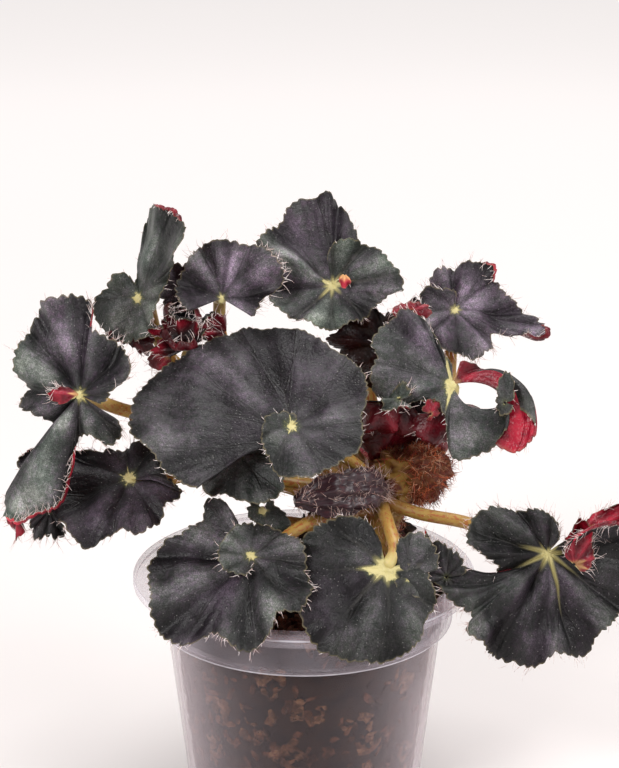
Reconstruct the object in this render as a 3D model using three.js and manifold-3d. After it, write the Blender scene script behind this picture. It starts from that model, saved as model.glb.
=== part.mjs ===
// A begonia with dark, spiralling, crested leaves on hairy stalks, growing in a clear nursery pot.
// Units are millimetres, +Z is up and the origin is the centre of the pot's foot.
import * as THREE from 'three';
import { mergeVertices } from 'three/addons/utils/BufferGeometryUtils.js';
import Module from 'manifold-3d';

const wasm = await Module();
wasm.setup();

// ---- driving dimensions ----------------------------------------------------------------------

const GAP = 0.3;                  // clearance between pieces that touch
const POT_HEIGHT = 82;
const POT_WALL = 1;
const RIM_RADIUS = 60;
const RIM_DROP = 2.7;             // height of the turned-down lip
const FLANGE_THICKNESS = 1.2;
const COLLAR_HEIGHT = 16.5;       // from the rim down to the step
const COLLAR_TOP_RADIUS = 52.6;
const COLLAR_FOOT_RADIUS = 52.1;
const BODY_TOP_RADIUS = 48.6;
const FOOT_RADIUS = 41.2;
const FOOT_RING_WIDTH = 2.4;
const PAD_RADIUS = 16;            // flat middle of the base, which rests on the table
const CHANNEL_HEIGHT = 7;         // raised, drained ring around the pad
const DRAIN_RADIUS = 3.5;
const DRAIN_CIRCLE = 28;
const DRAIN_COUNT = 8;
const POT_SIDES = 36;
const PAD_SLOPE = 1.5;            // the pad's and the foot ring's walls lean by this and by SLANT
const SLANT = 0.5;

const SOIL_DEPTH_BELOW_RIM = 6.5;
const SOIL_LUMP = 1.1;            // how far the bark mix rises and falls
const SOIL_RINGS = [0.8, 0.55, 0.3];
const EASE = 0.1;                 // a little more clearance where the pot's facets cut the corners

const BLADE_THICKNESS = 0.8;
const BLADE_START = 1.3;          // a blade's ribs start this far from its centre
const HUB_RADIUS = 2.2;           // knot where the main veins meet
const HUB_SINK = 0.7;             // how far the knot lies below the upper face
const TOOTH = 0.5;                // rise and fall of the toothed margin
const STEP_ANGLE = 20;            // widest turn between two rows of a blade
const STEP_ARC = 9;               // widest margin between two rows of a blade
const SHEET_ANGLE = 140;          // widest turn of one sheet of a blade
const LARGE_BLADE = 22;           // blades with longer ribs have one more ring of faces
const STALK_RADIUS = 1.9;
const STALK_SIDES = 6;
const STALK_STEPS = 8;
const STALK_REACH = 7;            // straight run of a stalk below its blade
const STALK_HOLE_DEPTH = 14;      // how far a stalk's hole is cut out from its root
const LIFT_REACH = 8;             // a blade's spiral and its pleats are full this far from the star
const PLEAT_REACH = 9;
const PLEAT_LEVEL = 0.6;          // share of the pleats' depth that lies below the blade's surface
const COURSE_STEPS = 16;
const CURL_START = 0.6;           // share of a rib's length where its margin starts to curl

// The creeping stem comes up through the bark mix and ends in a crown and a side knob.
const RHIZOME_ROUTE = [[14, 9, 70], [20, 7, 84], [26, 5, 100], [31, 5, 115]];
const RHIZOME_RADIUS = 9;
const RHIZOME_STEPS = 7;
const RHIZOME_SIDES = 10;
const RHIZOME_FOOT = 2;           // how far its rounded foot is cut into the bark mix
const KNOB_CENTRE = [41, 5, 116];
const KNOB_RADII = [9.5, 8.5, 9.5];
const CROWN_RADIUS = 10;

const BUD_ROUTE = [[28, -4.2, 114.5], [22, -11, 117], [10, -19, 118], [-3, -24, 117]];
const BUD_RADII = [2, 6.4, 6.8, 1.6];
const BUD_ROWS = 11;
const BUD_SIDES = 12;
const BUD_RIDGE = 0.16;           // share of its radius by which the bud's three ridges stand out
const BUD_HOLE_DEPTH = 8;

const COLOURS = {
  pot: 0xb9b3b8,
  soil: 0x3a2419,
  blade: 0x2c302f,
  underside: 0x6d1524,
  stalk: 0xb98a35,
  rhizome: 0x8a4426,
  bud: 0x35202c,
};

// A rib is [azimuth in degrees, length, rise, bend, curl, sweep]: the azimuth turns from the
// blade's own right-hand side towards its top, the rib leaves the blade's plane at the rise angle,
// bends evenly by bend degrees and by curl more near the margin, and its tip sweeps sideways.
// facing is the azimuth and elevation of the upper face, lift the height that one turn gains.
const LEAVES = [
  {
    name: 'centre', star: [-4, -28, 145], facing: [-4, 60], lift: -4, pleat: 0.5, veins: 7,
    stalk: [[24.5, 0, 116], [12, -7, 128]],
    ribs: [[55, 3, 10], [121, 5.5, 10], [171, 8.5, 10], [208, 11, 6], [244, 15.5, 2],
      [262, 20.5], [289, 22.5], [320, 22], [340, 24], [372, 23.5], [394, 29.5], [415, 36],
      [434, 39], [448, 44.5, 6, -12], [470, 49.5, 6, -12], [489, 51], [511, 53.5],
      [527, 55.5], [539, 54.5], [554, 46.5], [567, 43.5], [573, 39, 0, 0, 0, 9]],
  },
  {
    name: 'top', star: [10, 30, 177.5], facing: [-3, 44], lift: 5, pleat: 0.7, veins: 8,
    stalk: [[27, 12.5, 117], [24, 46, 132], [17, 48, 156]],
    ribs: [[63, 19.5, 6], [79, 27.5, 8], [88, 33, 8], [95, 36, 8, 12], [107, 34, 8],
      [118, 34, 8], [130, 30, 8], [150, 32, 10, 20], [162, 27], [183, 23.5], [199, 22],
      [219, 19.5], [240, 16.5], [273, 17, 0, -10], [305, 16, 0, -10], [330, 17.5],
      [342, 19.5, 5], [349, 25.5, 10], [358, 25.5, 15], [371, 22.5, 20], [392, 20, 25],
      [415, 17.5, 30, 20], [444, 14.5, 35, 20], [466, 8.5, 35, 10]],
  },
  {
    name: 'plum', star: [-28.5, 17, 176.5], facing: [8, 18], lift: -3, pleat: 0.9, veins: 9,
    stalk: [[23.5, 9, 114], [2, 15, 140], [-27, 17, 158]],
    ribs: [[326, 12, 10, -10], [355, 14, 5], [374, 22.5, 5, 0, 20], [394, 23.5, 5, 0, 20],
      [410, 22.5, 5], [427, 20], [450, 20.5], [471, 19], [487, 18, 5], [508, 16.5, 10],
      [536, 17.5, 20, 10], [559, 17, 30, 20]],
  },
  {
    name: 'spire', star: [-55, 14, 177.5], facing: [-20, 22], lift: -3, pleat: 0.5, veins: 6,
    stalk: [[20.5, 6.5, 106], [-16, 16, 131], [-49, 20, 157]],
    ribs: [[302, 11], [349, 6.5, 5], [392, 13.5, 20, 10], [402, 32.5, 25, 20],
      [421, 34.5, 20, 15], [443, 31.5, 5, 10], [454, 26, -12, 5], [459, 13, -12, 5],
      [469, 5, -5], [493, 11, 5], [528, 13], [559, 19, 0, -10], [582, 18.5, 0, -20],
      [611, 16, 0, -30], [643, 14, 0, -20]],
  },
  {
    name: 'left', star: [-75, -18, 153], facing: [-14, 22], lift: -4, pleat: 1, veins: 8,
    stalk: [[21.5, 3.5, 110], [-20, 6, 132], [-60, 0, 141]],
    ribs: [[343, 9, 10], [373, 14, 5], [385, 20.5, 5], [398, 21.5, 0, 0, 0, 8],
      [419, 21, 0, 0, 0, 8], [438, 22.5, 0, 0, 0, 6], [446, 31.5, 0, 0, 0, 4], [462, 33.5],
      [476, 33.5], [487, 30], [511, 26.5], [524, 24], [538, 19.5], [554, 22.5, 0, -10],
      [566, 17, 0, -10], [584, 15, -10, -20], [594, 44, 10, -50], [606, 56, 10, -60],
      [617, 45, 10, -60], [625, 28.5, 10, -55], [632, 14, 10, -40], [650, 13.5, 10, -50],
      [662, 18.5, 10, -60], [689, 14.5, 10, -60]],
  },
  {
    name: 'low', star: [-60.5, -2, 117], facing: [-6, 62], lift: -3, pleat: 0.6, veins: 7,
    stalk: [[19.5, 2, 102], [-12, 3, 114], [-42, 4, 116]],
    ribs: [[345, 19.5], [360, 13, 5], [391, 12.5, 15, 10], [441, 12.5, 20, 10],
      [477, 11, 15], [511, 19.5, 5], [520, 36], [533, 39.5], [559, 33.5], [584, 28.5, 0, -10],
      [607, 31, 0, -10], [618, 24, 0, -10], [629, 21, 0, -10], [645, 24, 0, -10], [671, 20],
      [687, 17]],
  },
  {
    name: 'front_left', star: [-17.5, -46, 106], facing: [-8, 48], lift: 4, pleat: 0.7, veins: 8,
    stalk: [[23.5, -1, 106], [2, -20, 108], [-9, -33, 105]],
    ribs: [[114, 16], [121, 24.5], [129, 28], [142, 23.5], [160, 24.5], [174, 31],
      [189, 34.5], [203, 34.5], [213, 37], [226, 38.5, 0, -10], [240, 35, 0, -15],
      [250, 28, 0, -10], [259, 29, 0, -10], [273, 31.5, 0, -15], [288, 27.5, 0, -10],
      [301, 21.5, 0, -10], [317, 25.5], [332, 24.5], [349, 19], [378, 17.5], [406, 13],
      [434, 12.5, 5], [466, 11.5, 10], [508, 10, 10], [538, 10.5, 10], [587, 10, 10],
      [624, 8.5, 10], [660, 4.5, 10]],
  },
  {
    name: 'front_right', star: [27, -44, 101], facing: [6, 46], lift: -3, pleat: 0.6, veins: 8,
    stalk: [[28, -3, 104], [32, -24, 109], [34, -37, 106]], sinus: 52,
    ribs: [[96, 9, 10], [104, 15, 10], [123, 21.5, 8], [145, 26.5, 5], [161, 29.5], [185, 31],
      [206, 33, 0, -4], [227, 35, 0, -8], [246, 33, 0, -16], [271, 30, 0, -20],
      [291, 26.5, 0, -15], [304, 21.5, 0, -10], [322, 20], [345, 14.5, 5], [372, 13.5, 10]],
  },
  {
    name: 'right', star: [83, -22, 97.5], facing: [12, 30], lift: -4, pleat: 1.2, veins: 9,
    stalk: [[27.5, -3, 109], [40, -8, 106.5], [58, -8.5, 102.7]],
    ribs: [[51, 5, 20], [76, 11.5, 15], [101, 15, 10], [124, 18, 5], [135, 24, 5],
      [151, 28.5, 5], [166, 31.5, 5], [176, 30, 5], [184, 24, 5], [190, 44, 0, 10, 0, -24],
      [196, 42.5, 0, 0, 0, -10], [202, 38.5, 0, 0, 0, -2], [211, 34], [216, 40, 0, -10],
      [228, 39, 0, -20], [248, 39, 0, -30], [259, 39.5, 0, -30], [270, 34, 0, -20],
      [287, 37.5, 0, -20], [299, 32, 0, -10], [317, 32.5], [339, 34], [359, 31, 10],
      [379, 31, 40, 30], [395, 34, 70, 40]],
  },
  {
    name: 'grey', star: [50.5, -4, 152], facing: [-4, 42], lift: -3, pleat: 0.5, veins: 7,
    stalk: [[41, 12.5, 118.5], [44, 17.5, 131]],
    ribs: [[91, 6.5, 10], [105, 11, 5], [111, 20], [116, 30], [123, 33], [140, 32.5],
      [152, 32], [160, 27.5], [174, 28], [187, 26, 0, -10], [199, 18.5, 0, -20],
      [208, 11.5, 0, -10], [231, 7.5, 0, -10], [260, 12, 0, -20], [270, 26.5, 0, -30, 0, 4],
      [279, 25.5, 0, -30, 0, 19], [287, 24.5, 0, -20, 0, 32], [295, 18, 0, -10, 0, 49]],
    folded: {
      facing: [176, -38],
      ribs: [[112, 9, 0, -10], [136, 10.5, 0, -10, 0, 4], [149, 14.5, 0, -10, 0, 10],
        [156, 19, 0, -10, 0, 14], [163, 21, 0, -10, 0, 26], [171, 27, 0, -10, 0, 34],
        [177, 34.5, 0, -10, 0, 38], [183, 34, 0, -10, 0, 47], [189, 28.5, 0, -10, 0, 54]],
    },
  },
  {
    name: 'upper_right', star: [53, 30, 168.5], facing: [4, 44], lift: -4, pleat: 0.8, veins: 8,
    stalk: [[46.5, 10, 115], [51, 23, 138]],
    ribs: [[80, 5, 30], [127, 9, 25], [153, 13, 10], [199, 11.5], [234, 16, 0, -10],
      [263, 15.5, 0, -10], [290, 19.5, 0, -15], [308, 19.5, 0, -10], [324, 15.5, 0, -5],
      [335, 25, 0, -10], [342, 34, 0, -10, 20], [354, 26], [371, 19], [394, 18, 5],
      [404, 22.5, 15, 20], [430, 19.5, 15, 20], [447, 16.5, 15], [470, 16.5, 10],
      [488, 13, 5]],
  },
  {
    name: 'red', star: [37.5, 6, 144.5], facing: [180, 14], lift: 0, pleat: 0.4, veins: 6,
    under: true,
    stalk: [[37, 11, 119], [40, 21.5, 136]], sinus: 90,
    ribs: [[198, 17, -30, 40], [221, 23, -30, 60], [236, 25.5, -30, 60], [250, 26, -35, 70],
      [259, 21.5, -30, 60], [266, 15.5, -20, 40], [275, 21.5, -30, 60], [286, 19.5, -30, 60],
      [294, 15.5, -20, 40], [302, 22.5, -30, 60], [316, 24.5, -30, 60], [336, 21, -30, 60],
      [358, 15.5, -20, 40]],
  },
  {
    name: 'curl', star: [-40.5, 14, 159.5], facing: [-6, 60], lift: 0, pleat: 0.5, veins: 6,
    stalk: [[22.5, 11, 105], [-2, 26, 128], [-31, 24, 147]],
    ribs: [[0, 14, 40, 10, 110], [20, 19, 40, 10, 110], [45, 15, 40, 10, 110],
      [75, 19, 40, 10, 110], [105, 16, 40, 10, 110], [135, 19, 40, 10, 110],
      [165, 15, 40, 10, 110], [195, 17, 40, 10, 110], [225, 13, 40, 10, 100],
      [255, 13, 40, 10, 100], [285, 11, 40, 10, 90], [315, 13, 40, 10, 100]],
  },
  {
    name: 'under', star: [-21.5, -24, 134], facing: [-2, 52], lift: 0, pleat: 0.4, veins: 7,
    stalk: [[24, -0.5, 111], [-8, -13, 121]],
    ribs: [[173, 6], [207, 12.5], [227, 17.5], [241, 18, 0, -10], [256, 14.5, 0, -10],
      [272, 16, 0, -20], [293, 18.5, 0, -20], [310, 20, 0, -20], [323, 19, 0, -10], [336, 15],
      [361, 7.5]],
  },
  {
    name: 'small', star: [-14, -22, 113], facing: [4, 40], lift: 0, pleat: 0.2, veins: 5,
    stalk: [[21.5, -2, 98], [0, -12, 104]],
    ribs: [[120, 4, 10], [187, 5], [247, 5], [298, 7, 0, -10], [317, 11, 0, -10], [335, 10],
      [353, 7.5], [376, 4.5, 5], [420, 4, 10]],
  },
  {
    name: 'behind', star: [29, 36, 154.5], facing: [178, 12], lift: 0, pleat: 0.5, veins: 7,
    under: true,
    stalk: [[32, 13, 114], [33, 26, 134]],
    ribs: [[269, 23, 0, 10], [286, 21.5, 0, 10], [314, 17, 0, 10], [341, 17, 0, 10],
      [362, 21, 0, 10], [378, 17, 0, 10], [409, 15, 0, 10], [430, 14, 0, 10], [445, 11],
      [464, 15.5, 0, 10], [478, 20, 0, 10], [492, 22.5, 0, 10]],
  },
  {
    name: 'back_left', star: [-38, 50, 132], facing: [-150, 52], lift: -4, pleat: 0.7, veins: 8,
    stalk: [[20.5, 10.5, 100], [-8, 34, 122]],
    ribs: [[40, 6, 10], [90, 9, 10], [150, 13, 6], [210, 18], [250, 23], [280, 26],
      [310, 25, 0, -10], [340, 28, 0, -15], [370, 27, 0, -15], [400, 29, 0, -10],
      [430, 25], [460, 26], [490, 22], [520, 20]],
  },
  {
    name: 'back_right', star: [48, 56, 126], facing: [148, 50], lift: 4, pleat: 0.7, veins: 8,
    stalk: [[36, 10.5, 110], [44, 36, 118]],
    ribs: [[60, 22], [90, 26], [120, 24, 0, -10], [150, 28, 0, -15], [180, 25, 0, -15],
      [210, 27, 0, -10], [240, 23], [270, 24], [300, 20], [330, 17], [370, 14, 6],
      [420, 9, 10], [470, 6, 10]],
  },
  {
    name: 'back', star: [4, 66, 112], facing: [176, 46], lift: -3, pleat: 0.7, veins: 8,
    stalk: [[23, 13, 96], [8, 44, 106]],
    ribs: [[20, 8, 8], [70, 15, 4], [110, 22], [150, 25, 0, -10], [190, 24, 0, -15],
      [230, 28, 0, -20], [260, 25, 0, -20], [290, 28, 0, -15], [320, 24, 0, -10], [350, 21],
      [385, 17]],
  },
];

// ---- small helpers ---------------------------------------------------------------------------

const DEGREE = Math.PI / 180;
const vector = (list) => new THREE.Vector3(...list);

function easeStep(value) {
  const x = Math.min(Math.max(value, 0), 1);
  return x * x * (3 - 2 * x);
}

/** Hermite curve through a list of numbers that never overshoots them. */
function throughList(values, place) {
  const index = Math.min(Math.floor(place), values.length - 2);
  const f = place - index;
  const slopeAt = (i) => {
    const before = i > 0 ? values[i] - values[i - 1] : 0;
    const after = i < values.length - 1 ? values[i + 1] - values[i] : 0;
    if (i === 0) return after;
    if (i === values.length - 1) return before;
    return before * after > 0 ? (2 * before * after) / (before + after) : 0;
  };
  const from = slopeAt(index);
  const to = slopeAt(index + 1);
  const span = values[index + 1] - values[index];
  const bow = 3 * span - 2 * from - to;
  const twist = from + to - 2 * span;
  return values[index] + f * from + f * f * bow + f ** 3 * twist;
}

function mergedPositions(geometry) {
  const bare = geometry.clone();
  bare.deleteAttribute('normal');
  bare.deleteAttribute('uv');
  return mergeVertices(bare, 1e-4);
}

function toSolid(geometry) {
  const isMerged = geometry.index && !geometry.getAttribute('uv');
  const merged = isMerged ? geometry : mergedPositions(geometry);
  return new wasm.Manifold(new wasm.Mesh({
    numProp: 3,
    vertProperties: Float32Array.from(merged.getAttribute('position').array),
    triVerts: Uint32Array.from(merged.index.array),
  }));
}

function indexedGeometry(positions, faces) {
  const geometry = new THREE.BufferGeometry();
  geometry.setAttribute('position', new THREE.BufferAttribute(Float32Array.from(positions), 3));
  geometry.setIndex(new THREE.BufferAttribute(Uint32Array.from(faces), 1));
  geometry.computeVertexNormals();
  return geometry;
}

function toGeometry(solid) {
  const mesh = solid.getMesh();
  return indexedGeometry(mesh.vertProperties, mesh.triVerts);
}

function material(colour, roughness, extra = {}) {
  return new THREE.MeshStandardMaterial({ color: colour, roughness, metalness: 0, ...extra });
}

function piece(name, geometry, finish) {
  const mesh = new THREE.Mesh(geometry, finish);
  mesh.name = name;
  return mesh;
}

// ---- leaf blades -----------------------------------------------------------------------------

/** Axes of a blade: its upward normal, its right-hand side and its top side. */
function bladeAxes([azimuth, elevation]) {
  const a = azimuth * DEGREE;
  const e = elevation * DEGREE;
  const level = Math.cos(e);
  const normal = vector([level * Math.sin(a), -level * Math.cos(a), Math.sin(e)]);
  const right = vector([Math.cos(a), Math.sin(a), 0]);
  return { normal, right, top: normal.clone().cross(right) };
}

/** How far a rib of length 1 has gone along the plane and above it at the share s of its length. */
function ribCourse(rise, bend, curl, s) {
  let along = 0;
  let above = 0;
  for (let i = 0; i < COURSE_STEPS; i += 1) {
    const at = (s * (i + 0.5)) / COURSE_STEPS;
    const curled = curl * easeStep((at - CURL_START) / (1 - CURL_START));
    const angle = (rise + bend * at + curled) * DEGREE;
    along += Math.cos(angle);
    above += Math.sin(angle);
  }
  return [(along * s) / COURSE_STEPS, (above * s) / COURSE_STEPS];
}

/** A point of a blade's middle surface at the rib position `place` and the share s of that rib. */
function bladePoint(leaf, place, s, tooth = 0) {
  const { normal, right, top } = bladeAxes(leaf.facing);
  const column = (k) => throughList(leaf.ribs.map((rib) => rib[k] ?? 0), place);
  const [azimuth, length, rise, bend, curl, sweep] = [0, 1, 2, 3, 4, 5].map(column);
  const first = leaf.ribs[0][0];
  const last = leaf.ribs[leaf.ribs.length - 1][0];
  const [along, above] = ribCourse(rise, bend, curl, s);
  const reach = length + tooth * s * s;
  const angle = (azimuth + sweep * s * s) * DEGREE;
  const distance = reach * s;
  const turn = (azimuth - (first + last) / 2) / 360;
  const pleat = leaf.pleat * (Math.abs(Math.sin((azimuth * DEGREE * leaf.veins) / 2)) - PLEAT_LEVEL);
  const spiral = leaf.lift * turn * Math.min(1, distance / LIFT_REACH);
  const height = reach * above + spiral + pleat * Math.min(1, distance / PLEAT_REACH);
  return vector(leaf.star)
    .addScaledVector(right, reach * along * Math.cos(angle))
    .addScaledVector(top, reach * along * Math.sin(angle))
    .addScaledVector(normal, height);
}

/** Rib positions of the rows of a blade, close enough in angle and along the margin. */
function rowPlaces(leaf) {
  const places = [0];
  for (let i = 0; i < leaf.ribs.length - 1; i += 1) {
    const turn = leaf.ribs[i + 1][0] - leaf.ribs[i][0];
    const arc = bladePoint(leaf, i, 1).distanceTo(bladePoint(leaf, i + 1, 1));
    const rows = Math.max(1, Math.ceil(turn / STEP_ANGLE - 0.4), Math.round(arc / STEP_ARC));
    for (let k = 1; k <= rows; k += 1) places.push(i + k / rows);
  }
  return places;
}

/** The two faces of a whole blade: for each row, its points from the star to the margin. */
function bladeFaces(leaf) {
  const widest = Math.max(...leaf.ribs.map((rib) => rib[1]));
  const shares = widest > LARGE_BLADE ? [0, 0.35, 0.7, 1] : [0, 0.5, 1];
  const places = rowPlaces(leaf);
  const middle = places.map((place, i) => {
    const tooth = i % 2 === 0 ? TOOTH : -TOOTH;
    const length = throughList(leaf.ribs.map((rib) => rib[1]), place);
    const start = Math.min(0.4, BLADE_START / length);
    return shares.map((share) => bladePoint(leaf, place, start + (1 - start) * share, tooth));
  });
  const lastRow = places.length - 1;
  const lastColumn = shares.length - 1;
  const normals = middle.map((row, i) => row.map((_, j) => {
    const alongRib = row[Math.min(j + 1, lastColumn)].clone().sub(row[Math.max(j - 1, 0)]);
    const aroundStar = middle[Math.min(i + 1, lastRow)][j].clone().sub(middle[Math.max(i - 1, 0)][j]);
    return alongRib.cross(aroundStar).normalize();
  }));
  const offset = (distance) => middle.map((row, i) => row.map(
    (point, j) => point.clone().addScaledVector(normals[i][j], distance),
  ));
  return { places, upper: offset(BLADE_THICKNESS / 2), lower: offset(-BLADE_THICKNESS / 2) };
}

/** One closed sheet between two lists of rows, split into triangles alike on both faces. */
function sheetGeometry(upperRows, lowerRows) {
  const rows = upperRows.length;
  const columns = upperRows[0].length;
  const positions = [...upperRows.flat(), ...lowerRows.flat()].flatMap((point) => point.toArray());
  const upper = (i, j) => i * columns + j;
  const lower = (i, j) => rows * columns + upper(i, j);
  const faces = [];
  for (let i = 0; i < rows - 1; i += 1) {
    for (let j = 0; j < columns - 1; j += 1) {
      faces.push(upper(i, j), upper(i, j + 1), upper(i + 1, j + 1));
      faces.push(upper(i, j), upper(i + 1, j + 1), upper(i + 1, j));
      faces.push(lower(i, j), lower(i + 1, j + 1), lower(i, j + 1));
      faces.push(lower(i, j), lower(i + 1, j), lower(i + 1, j + 1));
    }
  }
  const wall = (a, b, c, d) => faces.push(a, b, c, a, c, d);
  const edge = columns - 1;
  for (let i = 0; i < rows - 1; i += 1) {
    wall(upper(i, edge), lower(i, edge), lower(i + 1, edge), upper(i + 1, edge));
    wall(upper(i + 1, 0), lower(i + 1, 0), lower(i, 0), upper(i, 0));
  }
  const end = rows - 1;
  for (let j = 0; j < columns - 1; j += 1) {
    wall(lower(0, j), lower(0, j + 1), upper(0, j + 1), upper(0, j));
    wall(upper(end, j + 1), lower(end, j + 1), lower(end, j), upper(end, j));
  }
  return indexedGeometry(positions, faces);
}

function hubCentre(leaf) {
  return vector(leaf.star).addScaledVector(bladeAxes(leaf.facing).normal, -HUB_SINK);
}

/** The sheets of a blade, each under half a turn and sharing a row, added to what they grow from. */
function addSheets(solid, leaf) {
  const { places, upper, lower } = bladeFaces(leaf);
  const azimuths = leaf.ribs.map((rib) => rib[0]);
  const angleAt = (row) => throughList(azimuths, places[row]);
  let grown = solid;
  let from = 0;
  while (from < places.length - 1) {
    let to = from + 1;
    while (to < places.length - 1 && angleAt(to) - angleAt(from) < SHEET_ANGLE) to += 1;
    grown = grown.add(toSolid(sheetGeometry(upper.slice(from, to + 1), lower.slice(from, to + 1))));
    from = to < places.length - 1 ? to - 1 : to;
  }
  return grown;
}

/** The whole blade, and its folded lobe where it has one, joined at the knot of its veins. */
function bladeGeometry(leaf) {
  const hub = new THREE.IcosahedronGeometry(HUB_RADIUS, 0);
  hub.translate(...hubCentre(leaf).toArray());
  let solid = addSheets(toSolid(hub), leaf);
  if (leaf.folded) solid = addSheets(solid, { ...leaf, ...leaf.folded });
  return toGeometry(solid);
}

// ---- leaf stalks -----------------------------------------------------------------------------

/** Direction in which a stalk leaves its blade: straight down from it, or out through its sinus. */
function stalkDirection(leaf) {
  const { normal, right, top } = bladeAxes(leaf.facing);
  if (leaf.sinus === undefined) return normal.negate();
  const angle = leaf.sinus * DEGREE;
  const level = right.multiplyScalar(Math.cos(angle)).addScaledVector(top, Math.sin(angle));
  return level.addScaledVector(normal, 0.5).normalize();
}

function stalkCurve(leaf) {
  const out = stalkDirection(leaf);
  const centre = hubCentre(leaf);
  const neck = centre.clone().addScaledVector(out, STALK_REACH);
  const end = centre.clone().addScaledVector(out, HUB_RADIUS + GAP);
  return new THREE.CatmullRomCurve3([...leaf.stalk.map(vector), neck, end], false, 'centripetal');
}

function tubeGeometry(curve, radius, steps, sides) {
  const section = new THREE.Shape();
  for (let k = 0; k < sides; k += 1) {
    const angle = (k / sides) * 2 * Math.PI;
    const corner = [radius * Math.cos(angle), radius * Math.sin(angle)];
    if (k === 0) section.moveTo(...corner);
    else section.lineTo(...corner);
  }
  return new THREE.ExtrudeGeometry(section, { steps, extrudePath: curve, bevelEnabled: false });
}

/** A straight hole from just behind a root towards the point `aim`, wide enough for the radius. */
function holeSolid(root, aim, depth, radius, sides) {
  const out = aim.clone().sub(root).normalize();
  const path = new THREE.LineCurve3(
    root.clone().addScaledVector(out, -GAP),
    root.clone().addScaledVector(out, depth),
  );
  return toSolid(tubeGeometry(path, radius + 2 * GAP, 1, sides));
}

function stalkGeometry(leaf) {
  return tubeGeometry(stalkCurve(leaf), STALK_RADIUS, STALK_STEPS, STALK_SIDES);
}

/** The hole that a stalk stands in, a little wider than the stalk. */
function stalkSocket(leaf) {
  const aim = stalkCurve(leaf).getPointAt(1 / STALK_STEPS);
  return holeSolid(vector(leaf.stalk[0]), aim, STALK_HOLE_DEPTH, STALK_RADIUS, STALK_SIDES);
}

// ---- rhizome, bud and soil -------------------------------------------------------------------

function ellipsoid(centre, radii) {
  const geometry = new THREE.IcosahedronGeometry(1, 1);
  geometry.scale(...radii);
  geometry.translate(...centre);
  return geometry;
}

function rhizomeCurve() {
  return new THREE.CatmullRomCurve3(RHIZOME_ROUTE.map(vector));
}

function rhizomeGeometry() {
  const crownCentre = RHIZOME_ROUTE[RHIZOME_ROUTE.length - 1];
  const crown = ellipsoid(crownCentre, [CROWN_RADIUS, CROWN_RADIUS, CROWN_RADIUS]);
  let solid = toSolid(tubeGeometry(rhizomeCurve(), RHIZOME_RADIUS, RHIZOME_STEPS, RHIZOME_SIDES))
    .add(toSolid(crown))
    .add(toSolid(ellipsoid(KNOB_CENTRE, KNOB_RADII)));
  for (const leaf of LEAVES) solid = solid.subtract(stalkSocket(leaf));
  return toGeometry(solid.subtract(budSocket()));
}

/** A young leaf still folded along its length, thick in the middle and pointed at both ends. */
function budGeometry() {
  const curve = new THREE.CatmullRomCurve3(BUD_ROUTE.map(vector));
  const positions = [];
  const faces = [];
  const end = BUD_ROWS - 1;
  const frames = curve.computeFrenetFrames(end, false);
  for (let i = 0; i < BUD_ROWS; i += 1) {
    const share = i / end;
    const centre = curve.getPointAt(share);
    const radius = throughList(BUD_RADII, share * (BUD_RADII.length - 1));
    for (let k = 0; k < BUD_SIDES; k += 1) {
      const angle = (k / BUD_SIDES) * 2 * Math.PI;
      const ridge = 1 + BUD_RIDGE * Math.cos(3 * angle + 4 * share);
      const point = centre.clone()
        .addScaledVector(frames.normals[i], radius * ridge * Math.cos(angle))
        .addScaledVector(frames.binormals[i], radius * ridge * Math.sin(angle));
      positions.push(point.x, point.y, point.z);
    }
  }
  for (let i = 0; i < end; i += 1) {
    for (let k = 0; k < BUD_SIDES; k += 1) {
      const a = i * BUD_SIDES + k;
      const b = i * BUD_SIDES + ((k + 1) % BUD_SIDES);
      faces.push(a, b, b + BUD_SIDES, a, b + BUD_SIDES, a + BUD_SIDES);
    }
  }
  const last = end * BUD_SIDES;
  for (let k = 1; k < BUD_SIDES - 1; k += 1) {
    faces.push(0, k + 1, k, last, last + k, last + k + 1);
  }
  return indexedGeometry(positions, faces);
}

function budSocket() {
  const widest = BUD_RADII[0] * (1 + BUD_RIDGE);
  return holeSolid(vector(BUD_ROUTE[0]), vector(BUD_ROUTE[1]), BUD_HOLE_DEPTH, widest, BUD_SIDES);
}

/** Outer radius of the pot's body at a height below the step. */
function bodyRadius(z) {
  return FOOT_RADIUS + ((BODY_TOP_RADIUS - FOOT_RADIUS) * z) / (POT_HEIGHT - COLLAR_HEIGHT);
}

function latheGeometry(profile) {
  const points = profile.map(([r, z]) => new THREE.Vector2(r, z));
  const geometry = new THREE.LatheGeometry(points, POT_SIDES);
  geometry.rotateX(Math.PI / 2);
  return geometry;
}

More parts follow.
